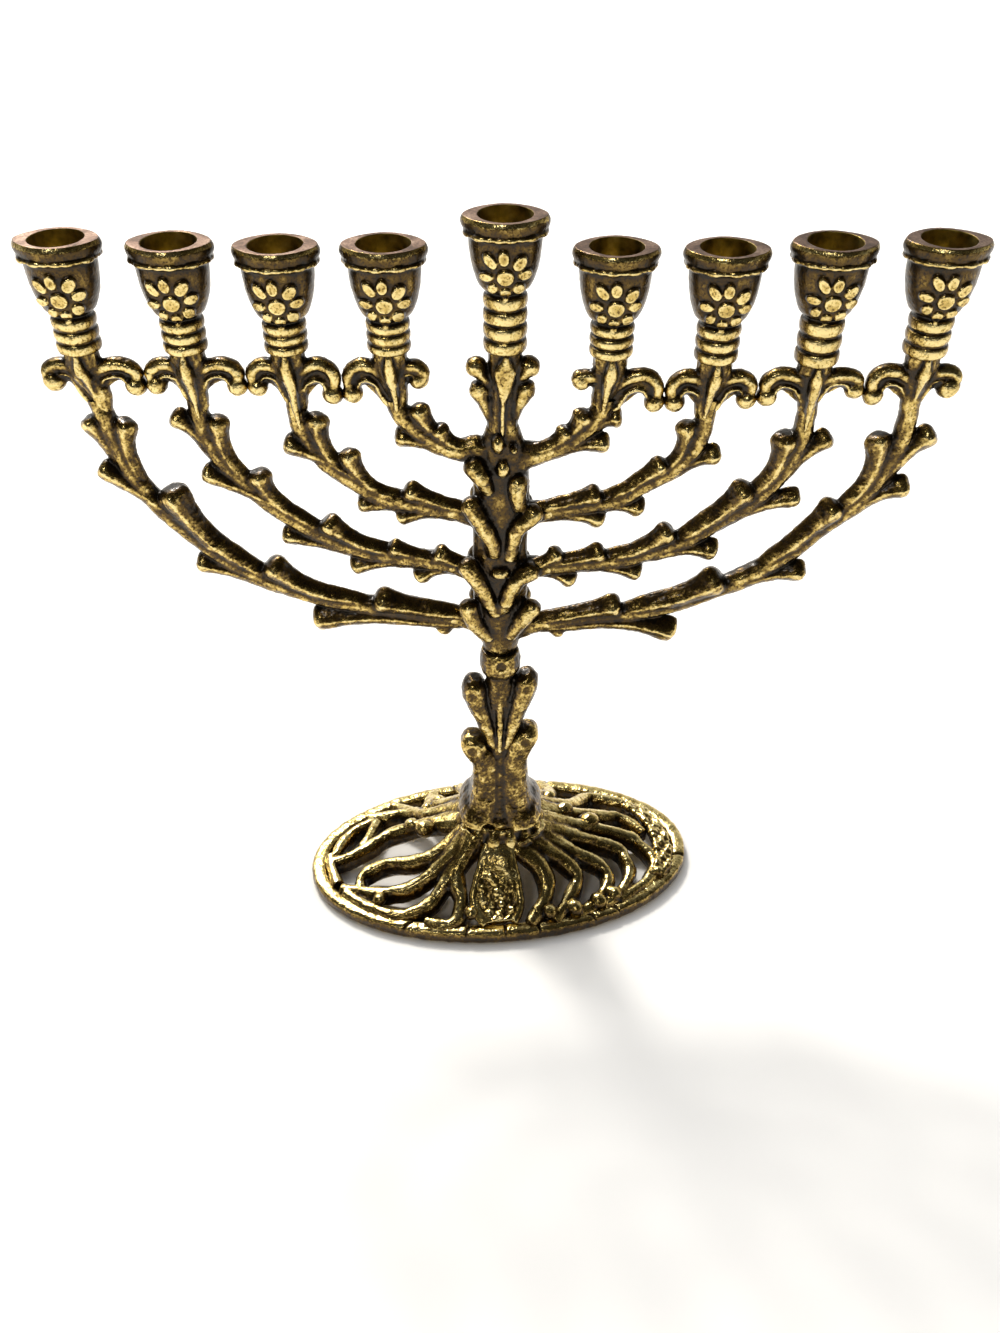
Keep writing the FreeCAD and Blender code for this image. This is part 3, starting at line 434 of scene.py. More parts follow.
def set_ring(verts, old_place, new_place, power):
    """Move a ring of vertices from one place to the next, and give it its section shape."""
    back = old_place.inverted()
    for vert in verts:
        local = back @ vert.co
        angle = atan2(local.y, local.x)
        radius = ring_radius(angle, power)
        vert.co = new_place @ Vector((cos(angle) * radius, sin(angle) * radius, 0))


def draw_through(bm, places, powers, sides):
    """A closed skin drawn through a row of ring places."""
    made = bmesh.ops.create_circle(bm, cap_ends=True, radius=1.0, segments=sides)
    face = made["verts"][0].link_faces[0]
    set_ring(face.verts, Matrix.Identity(4), places[0], powers[0])
    for number in range(1, len(places)):
        grown = bmesh.ops.extrude_face_region(bm, geom=[face])
        if number > 1:
            bmesh.ops.delete(bm, geom=[face], context="FACES_ONLY")
        face = next(part for part in grown["geom"] if isinstance(part, bmesh.types.BMFace))
        set_ring(face.verts, places[number - 1], places[number], powers[number])


def eased(rows, between):
    """The same rows with round bends between them."""
    last = len(rows) - 1
    smooth = []
    for number in range(last):
        before, here = rows[max(number - 1, 0)], rows[number]
        there, after = rows[number + 1], rows[min(number + 2, last)]
        for step in range(between):
            t = step / between
            smooth.append(here + 0.5 * t * (there - before + t * (2 * before - 5 * here + 4 * there - after
                          + t * (3 * (here - there) + after - before))))
    smooth.append(rows[-1])
    return smooth


def strand(bm, rows, outward=FRONT, power=RIDGED, sides=12, between=3):
    """A closed limb through rows of (x, y, z, half width, half depth). Depth faces outward."""
    rows = eased([np.array(row, float) for row in rows], between)
    last = len(rows) - 1
    places = []
    for number, row in enumerate(rows):
        ahead = rows[min(number + 1, last)][:3] - rows[max(number - 1, 0)][:3]
        along = Vector(ahead).normalized()
        across = along.cross(outward).normalized()
        deep = across.cross(along)
        place = Matrix.Identity(4)
        place.col[0][:3] = across * row[3]
        place.col[1][:3] = deep * row[4]
        place.col[2][:3] = along
        place.col[3][:3] = row[:3]
        places.append(place)
    draw_through(bm, places, [power] * len(places), sides)


def upright(bm, x, y, rows, sides=48):
    """A closed upright form through rows of (height, half width, half depth, section shape)."""
    places = [Matrix.Translation((x, y, height)) @ Matrix.Diagonal((wide, deep, 1, 1))
              for height, wide, deep, _ in rows]
    draw_through(bm, places, [row[3] for row in rows], sides)


def bead(bm, centre, outward, half_length, half_width, rise, tilt=0.0, along=None):
    """A domed lump on a surface: long along its tilt, rising along outward."""
    outward = Vector(outward).normalized()
    if along is None:
        along = UP.cross(outward)
    flat = (along - outward * along.dot(outward)).normalized()
    flat = Matrix.Rotation(radians(tilt), 3, outward) @ flat
    across = outward.cross(flat)
    place = Matrix.Identity(4)
    place.col[0][:3] = flat * half_length
    place.col[1][:3] = across * half_width
    place.col[2][:3] = outward * rise
    place.col[3][:3] = centre
    bmesh.ops.create_icosphere(bm, subdivisions=2, radius=1.0, matrix=place)


# Casting: one fused skin, its hollows measured for the patina

def shared_texture(name, size):
    texture = bpy.data.textures.new(name, "CLOUDS")
    texture.noise_scale = size * MM
    texture.noise_depth = 2
    return texture


lumps = shared_texture("casting lumps", lump_size)
pits = shared_texture("casting pits", pit_size)


def read_rows(items, field):
    """Three numbers for each vertex or face of a mesh, such as its place or its normal."""
    values = np.zeros(len(items) * 3)
    items.foreach_get(field, values)
    return values.reshape(-1, 3)


def measure_hollows(mesh, voxel, polish_and_light_ways, bare):
    """Store how far each point lies below (+) or above (-) its smoothed neighbourhood, in mm.

    Also stores how squarely each point faces the given ways, from 0 on a side to 1 face on. This is partly
    where buffing reached and partly painted light: faces turned to the given ways are drawn brighter as a
    painted highlight, and faces turned aside darker as painted shade. A piece that was buffed harder counts
    as standing higher, by bare.
    """
    count = len(mesh.vertices)
    points = read_rows(mesh.vertices, "co") / MM
    normals = read_rows(mesh.vertices, "normal")
    edges = np.zeros(len(mesh.edges) * 2, int)
    mesh.edges.foreach_get("vertices", edges)
    first, second = edges[::2], edges[1::2]
    reach = np.bincount(first, minlength=count) + np.bincount(second, minlength=count)
    reach = np.maximum(reach, 1)
    # Painted light: faces turned to the given ways are drawn as bright brass and faces turned aside as dark
    # skin, partly as buffed wear
    rubbed_and_painted_light = mesh.attributes.new("rubbed_and_painted_light", "FLOAT", "POINT")
    square = np.max([np.abs(normals @ np.array(way)) for way in polish_and_light_ways], axis=0)
    rubbed_and_painted_light.data.foreach_set("value", square.astype(np.float32))
    smooth = points.copy()
    done = 0
    for name, radius in (("hollow", hollow_radius), ("deep", deep_radius)):
        rounds = int((radius / voxel) ** 2)
        while done < rounds:
            total = np.empty_like(smooth)
            for axis in range(3):
                column = smooth[:, axis]
                total[:, axis] = (np.bincount(first, column[second], count)
                                  + np.bincount(second, column[first], count))
            smooth = total / reach[:, None]
            done += 1
        value = ((smooth - points) * normals).sum(1) - bare
        attribute = mesh.attributes.new(name, "FLOAT", "POINT")
        attribute.data.foreach_set("value", value.astype(np.float32))


def cast(name, bm, nodes, voxel=skin_voxel, lump=lump_height, pit=pit_depth, shape=None,
         polish_and_light_ways=(FRONT,), bare=0.0):
    """One cast piece in metres, fused from what a bmesh holds, riding on the body."""
    mesh = bpy.data.meshes.new(name)
    bm.to_mesh(mesh)
    bm.free()
    mesh.transform(Matrix.Scale(MM, 4))
    piece = bpy.data.objects.new(name, mesh)
    bpy.context.scene.collection.objects.link(piece)
    fuse = piece.modifiers.new("fuse", "REMESH")
    fuse.mode = "VOXEL"
    fuse.voxel_size = voxel * MM
    fuse.use_smooth_shade = True
    ease = piece.modifiers.new("ease", "SMOOTH")
    ease.factor = 0.5
    ease.iterations = 2
    for label, texture, height in (("lumps", lumps, lump), ("pits", pits, pit)):
        rough = piece.modifiers.new(label, "DISPLACE")
        rough.texture = texture
        rough.texture_coords = "LOCAL"
        rough.strength = height * MM
    graph = bpy.context.evaluated_depsgraph_get()
    skin = bpy.data.meshes.new_from_object(piece.evaluated_get(graph))
    piece.modifiers.clear()
    piece.data = skin
    bpy.data.meshes.remove(mesh)
    skin.name = name
    keep_inside(skin, shape)
    measure_hollows(skin, voxel, polish_and_light_ways, bare)
    skin.materials.append(patina_brass)
    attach(piece, "root")
    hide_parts(*nodes)
    return piece


def keep_inside(mesh, shape):
    """Press the skin back inside the CAD model's box, after any last moves of its points."""
    points = read_rows(mesh.vertices, "co")
    if shape is not None:
        points = shape(points / MM) * MM
    points = np.clip(points, np.array(cad_box[0]), np.array(cad_box[1]))
    mesh.vertices.foreach_set("co", points.ravel())
    mesh.update()


# Materials

def linear(hex_colour):
    """A linear RGBA colour from an sRGB hex value."""
    channels = []
    for place in (0, 2, 4):
        value = int(hex_colour[place:place + 2], 16) / 255
        channels.append(value / 12.92 if value <= 0.04045 else ((value + 0.055) / 1.055) ** 2.4)
    return (*channels, 1.0)


def add(material, kind, links=(), **settings):
    """Add a node. Settings are its properties or, by socket name, its values; links join sockets."""
    node = material.node_tree.nodes.new(kind)
    for key, value in settings.items():
        if hasattr(node, key):
            setattr(node, key, value)
        else:
            node.inputs[key.replace("_", " ")].default_value = value
    for socket, source in links:
        material.node_tree.links.new(source, node.inputs[socket])
    return node


def new_material(name):
    material = bpy.data.materials.new(name)
    material.use_nodes = True
    material.node_tree.nodes.clear()
    return material


def end_material(material, shader):
    add(material, "ShaderNodeOutputMaterial", [("Surface", shader)])
    return material


def ramp(material, source, stops):
    """A colour ramp over a value, from (place, sRGB hex) stops."""
    node = add(material, "ShaderNodeValToRGB", [("Fac", source)])
    elements = node.color_ramp.elements
    while len(elements) < len(stops):
        elements.new(1.0)
    for element, (place, colour) in zip(elements, stops):
        element.position = place
        element.color = linear(colour)
    return node


def make_patina_brass():
    """Sand-cast brass, blackened in a dip and then buffed back. Faces turned to the front, and up on the base
    pieces, are bare warm brass with a satin gloss and small dark pits. This is partly buffed wear and partly
    painted light by the way they face. Faces turned aside keep a brown to black skin, partly as painted
    shade. Hollows keep that skin too, so the relief reads from a distance.
    """
    material = new_material("patina_brass")
    place = add(material, "ShaderNodeTexCoord").outputs["Object"]
    broad = add(material, "ShaderNodeTexNoise", [("Vector", place)], Scale=1 / (3.0 * MM), Detail=3.0)
    grit = add(material, "ShaderNodeTexNoise", [("Vector", place)], Scale=1 / (0.5 * MM), Detail=3.0)
    hollow = add(material, "ShaderNodeAttribute", attribute_name="hollow").outputs["Fac"]
    deep = add(material, "ShaderNodeAttribute", attribute_name="deep").outputs["Fac"]
    rubbed_and_painted_light = add(material, "ShaderNodeAttribute", attribute_name="rubbed_and_painted_light").outputs["Fac"]
    small_dips = add(material, "ShaderNodeMapRange", [("Value", hollow)],
                     From_Min=-0.12, From_Max=0.10, To_Min=0.0, To_Max=0.62)
    large_dips = add(material, "ShaderNodeMapRange", [("Value", deep)],
                     From_Min=-0.35, From_Max=0.35, To_Min=0.0, To_Max=0.55)
    # Painted shade: faces turned aside from the given ways darken towards the skin colour, partly as unbuffed
    # skin
    unbuffed_and_side_shade = add(material, "ShaderNodeMapRange", [("Value", rubbed_and_painted_light)],
                 From_Min=0.1, From_Max=0.95, To_Min=0.85, To_Max=0.0)
    uneven = add(material, "ShaderNodeMapRange", [("Value", broad.outputs["Fac"])],
                 From_Min=0.3, From_Max=0.7, To_Min=-0.2, To_Max=0.24)
    pitted = add(material, "ShaderNodeMapRange", [("Value", grit.outputs["Fac"])],
                 From_Min=0.5, From_Max=0.72, To_Min=0.0, To_Max=0.48)
    cover = small_dips.outputs[0]
    for part in (large_dips, unbuffed_and_side_shade, uneven, pitted):
        cover = add(material, "ShaderNodeMath", [(0, cover), (1, part.outputs[0])],
                    operation="ADD").outputs[0]
    share = add(material, "ShaderNodeMapRange", [("Value", cover)], From_Max=1.5)
    colour = ramp(material, share.outputs[0], [(0.04, "F0DA97"), (0.23, "CBAE62"), (0.36, "8E753D"),
                                               (0.5, "5D481F"), (0.68, "433114"), (0.9, "20180A")])
    rough = add(material, "ShaderNodeMapRange", [("Value", cover)], To_Min=0.2, To_Max=0.3)
    relief = add(material, "ShaderNodeMath", [(0, grit.outputs["Fac"]), (1, broad.outputs["Fac"])],
                 operation="ADD")
    bump = add(material, "ShaderNodeBump", [("Height", relief.outputs[0])], Strength=0.5,
               Distance=0.18 * MM)
    metal = add(material, "ShaderNodeMapRange", [("Value", cover)],
                From_Min=0.6, From_Max=1.3, To_Min=1.0, To_Max=0.6)
    shader = add(material, "ShaderNodeBsdfPrincipled",
                 [("Base Color", colour.outputs["Color"]), ("Roughness", rough.outputs[0]),
                  ("Normal", bump.outputs["Normal"]), ("Metallic", metal.outputs[0])],
                 Coat_Weight=0.2, Coat_Roughness=0.12)
    return end_material(material, shader.outputs["BSDF"])


def make_bare_metal(name, pattern, stops, roughness, height=None):
    """A metal with no skin, its colour and gloss led by one pattern, and a fine relief if it has one."""
    material = new_material(name)
    place = add(material, "ShaderNodeTexCoord").outputs["Object"]
    source, gloss, relief = pattern(material, place)
    colour = ramp(material, source, stops)
    rough = add(material, "ShaderNodeMapRange", [("Value", gloss)], To_Min=roughness[0], To_Max=roughness[1])
    links = [("Base Color", colour.outputs["Color"]), ("Roughness", rough.outputs[0])]
    if height is not None:
        bump = add(material, "ShaderNodeBump", [("Height", relief)], Strength=0.25, Distance=height * MM)
        links.append(("Normal", bump.outputs["Normal"]))
    shader = add(material, "ShaderNodeBsdfPrincipled", links, Metallic=1.0)
    return end_material(material, shader.outputs["BSDF"])


def stained_grit(material, place):
    """Grinding grit of half a millimetre, over stains some millimetres wide."""
    grit = add(material, "ShaderNodeTexNoise", [("Vector", place)], Scale=1 / (0.5 * MM), Detail=4.0)
    stain = add(material, "ShaderNodeTexNoise", [("Vector", place)], Scale=1 / (4.0 * MM), Detail=2.0)
    mix = add(material, "ShaderNodeMath", [(0, grit.outputs["Fac"]), (1, stain.outputs["Fac"])],
              operation="MULTIPLY")
    return mix.outputs[0], grit.outputs["Fac"], grit.outputs["Fac"]


def wax_stains(material, place):
    """Patches that wax and flame left in a bore."""
    stain = add(material, "ShaderNodeTexNoise", [("Vector", place)], Scale=1 / (2.5 * MM), Detail=4.0)
    return stain.outputs["Fac"], stain.outputs["Fac"], None


def turned_rings(material, place):
    """Rings of a turning tool round the screw's axis."""
    rings = add(material, "ShaderNodeTexWave", [("Vector", place)], wave_type="RINGS", rings_direction="Z",
                Scale=1 / (3.0 * MM), Distortion=0.6)
    return rings.outputs["Fac"], rings.outputs["Fac"], None


def make_backdrop():
    """Matt white card of the sweep. The camera and the metal see it pale, and it keeps the lamps' shadow.
    Near the object its glow fades by ambient occlusion, as painted shadow.
    """
    material = new_material("backdrop_card")
    ray = add(material, "ShaderNodeLightPath")
    seen = add(material, "ShaderNodeMath",
               [(0, ray.outputs["Is Camera Ray"]), (1, ray.outputs["Is Glossy Ray"])], operation="MAXIMUM")
    # Painted shadow: the card's glow fades where the object stands close
    painted_shadow_occlusion = add(material, "ShaderNodeAmbientOcclusion", Distance=painted_shadow_reach * MM)
    painted_shadow_share = add(material, "ShaderNodeMath", [(0, painted_shadow_occlusion.outputs["AO"]), (1, painted_shadow_occlusion.outputs["AO"])],
                     operation="MULTIPLY")
    glow = add(material, "ShaderNodeMath", [(0, seen.outputs[0])], operation="MULTIPLY")
    glow.inputs[1].default_value = card_glow
    glow_left_by_painted_shadow = add(material, "ShaderNodeMath", [(0, glow.outputs[0]), (1, painted_shadow_share.outputs[0])],
                     operation="MULTIPLY")
    card = add(material, "ShaderNodeBsdfDiffuse", Color=linear("E8E3DA"))
    light = add(material, "ShaderNodeEmission", [("Strength", glow_left_by_painted_shadow.outputs[0])], Color=linear("FFFFFF"))
    shader = add(material, "ShaderNodeAddShader", [(0, card.outputs[0]), (1, light.outputs[0])])
    return end_material(material, shader.outputs[0])


patina_brass = make_patina_brass()
# The same brass where the rim was ground flat: bare, browned by handling, with fine grit
ground_rim = make_bare_metal("ground_rim", stained_grit,
                             [(0.12, "4A3A2E"), (0.26, "7E6554"), (0.42, "A48C78")], (0.35, 0.6), 0.1)
# The bored inside of a cup: bare brass stained by wax and flame, olive yellow in soft patches
candle_bore = make_bare_metal("candle_bore", wax_stains,
                              [(0.3, "6E6030"), (0.55, "AA944C"), (0.8, "D0BA72")], (0.3, 0.6))
# Zinc-plated steel of the screw and washer, turned and pressed: pale grey with fine rings
zinc_steel = make_bare_metal("zinc_steel", turned_rings, [(0.0, "8E9193"), (1.0, "B4B7B9")], (0.28, 0.42))


# Cups

def wall_at(rows, height):
    """Half width and half depth of a bowl's wall at a height, from its rows."""
    heights = [row[0] for row in rows]
    return (float(np.interp(height, heights, [row[1] for row in rows])),
            float(np.interp(height, heights, [row[2] for row in rows])))


def on_wall(rows, x, across, height, face):
    """A point on a bowl's wall and its outward direction; face is -1 at the front, 1 at the back."""
    wide, deep = wall_at(rows, height)
    share = max(min(across / wide, 0.95), -0.95)
    y = face * deep * sqrt(1 - share * share)
    return Vector((x + across, y, height)), Vector((across / wide ** 2, y / deep ** 2, 0.12 / deep))


def cup(name, rings):
    node = "cup_" + name
    low, high = corners(node)
    x = (low.x + high.x) / 2
    half_width = (high.x - low.x) / 2
    half_depth = (high.y - low.y) / 2
    rim, foot = high.z, low.z - neck_reach.get(name, 0)
    neck_top = rim - bowl_height
    ring_height = (neck_top - foot) / rings
    rows = [(foot - 0.1, neck_half_width * 0.86, neck_half_width * 0.86, ROUND)]
    for ring in reversed(range(rings)):
        for drop, size in reversed(ring_shares):
            radius = neck_half_width * size
            rows.append((neck_top - ring_height * (ring + drop), radius, radius, ROUND))
    for drop, wide, deep, power in reversed(bowl_shares):
        rows.append((rim - bowl_height * drop, half_width * wide, half_depth * deep, power))
    wall = list(rows)
    bore = candle_bore_radius
    rows += [(rim + rim_grind, half_width * 0.95, half_depth * 0.94, RIM_SECTION),
             (rim + rim_grind, bore, bore, ROUND),
             (rim - candle_bore_depth, bore, bore, ROUND),
             (rim - candle_bore_depth - bore_taper_depth, bore_floor_radius, bore_floor_radius, ROUND)]
    bm = bmesh.new()
    upright(bm, x, 0, rows)
    ledge = rim - bowl_height * ledge_drop_share
    wide, deep = wall_at(wall, ledge)
    for number in range(ledge_bead_count):
        angle = 2 * pi * number / ledge_bead_count
        centre = Vector((x + wide * cos(angle), deep * sin(angle), ledge))
        size = ledge_bead_radius * (1 + 0.25 * sin(number * 2.7 + x))
        bead(bm, centre, (cos(angle) / wide, sin(angle) / deep, 0), size * 2.6, size, size)
    middle = rim - bowl_height * flower_drop_share
    turn = petal_turn * sin(2.4 * x / half_width)
    for face in (-1, 1):
        centre, outward = on_wall(wall, x, 0, middle, face)
        bead(bm, centre, outward, disc_radius, disc_radius, relief_rise)
        for angle, away, length, width in petals:
            angle += turn
            across, up = away * cos(radians(angle)), away * sin(radians(angle))
            centre, outward = on_wall(wall, x, -face * across, middle + up, face)
            bead(bm, centre, outward, length, width, relief_rise, angle)
    piece = cast(node, bm, [node], voxel=cup_voxel, lump=0.16, pit=0.06, bare=0.04,
                 shape=lambda points: cut_flat(press_flower(points, x, rim, wall), rim))
    paint_rim(piece.data, x, rim)
    darken_field_and_paint_lip_reflection(piece.data, x, rim, wall)
    return piece


def wall_rise(points, x, wall):
    """How far each point stands out from a bowl's wall, in millimetres."""
    heights = [row[0] for row in wall]
    wide = np.interp(points[:, 2], heights, [row[1] for row in wall])
    deep = np.interp(points[:, 2], heights, [row[2] for row in wall])
    return (np.sqrt(((points[:, 0] - x) / wide) ** 2 + (points[:, 1] / deep) ** 2) - 1) * deep


def press_flower(points, x, rim, wall):
    """Polish the flower's tops flat at one height over the wall."""
    drop = (rim - points[:, 2]) / bowl_height
    extra = np.maximum(wall_rise(points, x, wall) - relief_cut, 0) * ((drop > 0.25) & (drop < 0.99))
    away = np.hypot(points[:, 0] - x, points[:, 1])
    back = 1 - extra / np.maximum(away, 1)
    points[:, 0] = x + (points[:, 0] - x) * back
    points[:, 1] *= back
    return points


def darken_field_and_paint_lip_reflection(mesh, x, rim, wall):
    """Leave more of the dark skin behind the flower, where the buffing skipped. The band round the lip is
    painted darker as a painted reflection of the dark room above it, and the lip's top edge is drawn lighter.
    """
    points = read_rows(mesh.vertices, "co") / MM
    rise = wall_rise(points, x, wall)
    drop = (rim - points[:, 2]) / bowl_height
    field = (drop > 0.25) & (drop < 0.96)
    lip = (drop > lip_shares[0]) & (drop < lip_shares[1]) & (rise > -1)
    edge = (drop < lip_shares[0]) & (rise > -1)
    hollow = np.zeros(len(points), np.float32)
    attribute = mesh.attributes["hollow"]
    attribute.data.foreach_get("value", hollow)
    hollow += field * field_darkness * (1 - np.clip(rise / field_depth, 0, 1))
    # Painted reflection: the lip band is darkened. The top edge above it is drawn lighter
    hollow += lip * lip_painted_reflection - edge * lip_edge_lightening
    attribute.data.foreach_set("value", hollow.astype(np.float32))


def cut_flat(points, height):
    """Grind a piece flat at a height."""
    points[:, 2] = np.minimum(points[:, 2], height)
    return points


def paint_rim(mesh, x, rim):
    """Give the ground rim and the bore their own finishes, by where each face lies."""
    mesh.materials.append(ground_rim)
    mesh.materials.append(candle_bore)
    centres = read_rows(mesh.polygons, "center") / MM
    normals = read_rows(mesh.polygons, "normal")
    away = np.hypot(centres[:, 0] - x, centres[:, 1])
    inward = -((centres[:, 0] - x) * normals[:, 0] + centres[:, 1] * normals[:, 1]) / away + normals[:, 2]
    slots = np.zeros(len(centres), int)
    floor = rim - candle_bore_depth - bore_taper_depth - 1
    slots[(away < candle_bore_radius * 1.04) & (centres[:, 2] > floor) & (inward > 0.4)] = 2
    slots[(centres[:, 2] > rim - 0.2) & (normals[:, 2] > 0.7)] = 1
    mesh.polygons.foreach_set("material_index", slots)


# Leaf stalks and scrolls under the cups

def scroll_end(name, side):
    kind, reach, height_share, size = scroll_shares[name][side]
    radius = scroll_ball_radius * size
    height = neck_base - scroll_ball_drop + scroll_ball_rise * height_share
    outward = -1 if side == "left" else 1
    if kind == "free":
        return cup_place(name) + outward * cup_pitch * reach, height, radius
    first = name if side == "right" else str(int(name) - 1)
    start, end = cup_place(first), cup_place(str(int(first) + 1))
    return start + (end - start) * reach - outward * radius * scroll_touch_share, height, radius


def calyx(name):
    node = "calyx_" + name
    x = cup_place(name)
    path = arm_path_shares[name]
    foot = x * path[-2][0]
    foot_z, top_z = corners(node)[0].z, neck_base - neck_reach.get(name, 0)
    bm = bmesh.new()
    strand(bm, [(foot, 0, foot_z - 2.2, 1.5, 1.4), (foot, 0, foot_z + 0.2, 2.15, 2.0),
                (foot, 0, foot_z + 3.5, 2.4, 2.2),
                (x, 0, foot_z + 7.5, 3.1, 2.7), (x, 0, top_z - 1.5, 3.6, 3.1),
                (x, 0, top_z + 1.5, 3.4, 3.2)], power=ROUND)
    tip = neck_base - leaf_tip_drops[name]
    lean = foot + (x - foot) * (tip - foot_z) / (top_z - foot_z)
    for face in (-1, 1):
        strand(bm, [(lean, face * 1.7, tip, 0.35, 0.6),
                    (lean * 0.5 + x * 0.5, face * 2.5, (tip + top_z) / 2, 1.0, 1.3),
                    (x, face * 3.1, top_z - 3.2, 1.35, 1.4), (x, face * 3.4, top_z - 1.3, 0.9, 1.1),
                    (x, face * 3.6, top_z + 0.6, 0.45, 0.6)], power=1.8)
    top = neck_base - scroll_top_drops[name]
    for side, outward in (("left", -1), ("right", 1)):
        end, height, radius = scroll_end(name, side)
        reach = abs(end - x) + radius * scroll_touch_share
        for shares, power in ((scroll_band_shares, ROUND), (scroll_rib_shares, 1.6),
                              (scroll_web_shares, ROUND)):
            strand(bm, [(x + outward * reach * across, 0, top - (top - height) * down, wide, deep)
                        for across, down, wide, deep in shares], power=power)
        strand(bm, [(foot + outward * 0.6, 0, foot_z - 0.4, 0.8, 1.3),
                    (x + outward * reach * 0.14, 0, (foot_z + height) / 2, 0.9, 1.5),
                    (x + outward * reach * 0.32, 0, top - (top - height) * 0.6, 0.75, 1.6)], power=1.6)
        bmesh.ops.create_icosphere(bm, subdivisions=3, radius=radius * 0.92,
                                   matrix=Matrix.Translation((end, 0, height)))
    return cast(node, bm, [node])


# Arms

def arm_point(name, share_x, share_z):
    level = level_height(name)
    return np.array((cup_place(name) * share_x, 0, level + (neck_base - level) * share_z))


def walk(line, gone, distance):
    """The place at a distance along a line of points."""
    return np.array([np.interp(distance, gone, line[:, axis]) for axis in range(3)])


def bone(bm, line, gone, root, knob, radius):
    """A bone of metal: it lies along its limb, bends away, and ends in a cut knob."""
    steps = np.linspace(0, gone[-1], 200)
    near = min(steps, key=lambda step: np.linalg.norm(walk(line, gone, step) - root))
    along = walk(line, gone, near + 1) - walk(line, gone, near - 1)
    along = along / np.linalg.norm(along)
    across = np.array((-along[2], 0, along[0]))
    side = 1 if np.dot(knob - root, across) > 0 else -1
    upper = side * (1 if along[0] > 0 else -1) > 0
    forward = bone_overlap if upper else 0.0
    length = np.linalg.norm(knob - root)
    rows = []
    for share, offset, size in bone_lead_shares:
        place = walk(line, gone, max(near - length * share, 0)) + across * side * radius * offset
        rows.append((place[0], -forward * offset, place[2], radius * size, radius * size))
    start = walk(line, gone, near) + across * side * radius * bone_seat_share
    bend = start + along * length * 0.45
    for share, size in twig_profile_shares:
        place = start * (1 - share) ** 2 + bend * 2 * share * (1 - share) + knob * share ** 2
        rows.append((place[0], -forward, place[2], radius * size, radius * size))
    out = (knob - bend) / np.linalg.norm(knob - bend)
    for past, size in knob_end_shares:
        place = knob + out * past * radius
        rows.append((place[0], -forward, place[2], radius * size, radius * size))
    strand(bm, rows, power=RIDGED, between=2)


def arm(name):
    node = "arm_" + name
    low, high = corners(node)
    line = np.array([arm_point(name, x, z) for x, z in arm_path_shares[name]])
    gone = np.concatenate(([0], np.cumsum(np.linalg.norm(np.diff(line, axis=0), axis=1))))
    outward = 1 if cup_place(name) > 0 else -1
    seat = low.x if outward > 0 else high.x
    bm = bmesh.new()
    thick = [arm_radius] * (len(line) - 2) + [arm_radius * 0.95, arm_radius * 0.8]
    strand(bm, [(place[0], 0, place[2], size, size) for place, size in zip(line, thick)], power=ROUND)
    for knob_x, knob_z, root_x, root_z, size in twig_shares[name]:
        root = arm_point(name, root_x, root_z)
        knob = arm_point(name, knob_x, knob_z)
        bone(bm, line, gone, root, knob, knob_radius * size)
    return cast(node, bm, [node], bare=-0.045,
                shape=lambda points: trim_arm(points, seat, outward, high.z))


def trim_arm(points, seat, outward, top):
    """Press an arm's ends to a little way inside the trunk and the leaf stalk."""
    if outward > 0:
        points[:, 0] = np.maximum(points[:, 0], seat - arm_seat_depth)
    else:
        points[:, 0] = np.minimum(points[:, 0], seat + arm_seat_depth)
    points[:, 2] = np.minimum(points[:, 2], top + arm_lap)
    return points


# Trunk, stalk and stem

def trunk():
    low, high = corners("trunk")
    height = high.z - low.z
    seat = high.x
    bm = bmesh.new()
    rows = [(0, 0, low.z - 1.8, 2.8, 2.4), (0, 0, low.z + 1.2, 3.8, 3.0)]
    for x, share, wide, deep in trunk_core_shares:
        rows.append((x, 0, low.z + height * share, wide, deep))
    rows += [(0.6, 0, high.z - 1.5, 4.3, 3.1), (0.8, 0, high.z + 2.2, 2.5, 2.2)]
    strand(bm, rows, power=1.9, sides=20)
    for name in ARM_LEVELS:
        line = np.array([arm_point(name, x, z) for x, z in arm_path_shares[name]])
        outward = 1 if cup_place(name) > 0 else -1
        rows = [(outward * 1.5, 0, level_height(name) - 2.5, 3.6, 2.6)]
        for away, size in arm_root_sizes:
            rows.append((outward * away, 0, np.interp(away, abs(line[:, 0]), line[:, 2]), size, 2.4))
        strand(bm, rows, power=ROUND)
    for face in (-1, 1):
        for line in trunk_twig_shares:
            rows = []
            for number, (x, z) in enumerate(line):
                size = 1.0 - 0.3 * number / (len(line) - 1)
                reach = seat * (1 if face < 0 else back_twig_share)
                sunk = 0.5 * (number == 0) + 0.9 * (number == len(line) - 1)
                rows.append((x * reach, face * (trunk_front - sunk), low.z + z * height,
                             trunk_twig_radius * size, trunk_twig_radius * size))
            start = Vector(rows[0][:3])
            out = (start - Vector(rows[1][:3])).normalized()
            for past, size in knob_end_shares:
                rows.insert(0, (*(start + out * past * 2 * trunk_twig_radius), trunk_twig_radius * size,
                                trunk_twig_radius * size))
            strand(bm, rows, power=1.75, between=2)
        for x, z, wide, tall in trunk_bead_shares:
            centre = Vector((x * seat, face * trunk_front, low.z + height * z))
            bead(bm, centre, (0, face, 0), tall, wide, 1.75, along=UP)
    return cast("trunk", bm, ["trunk"], bare=-0.04)


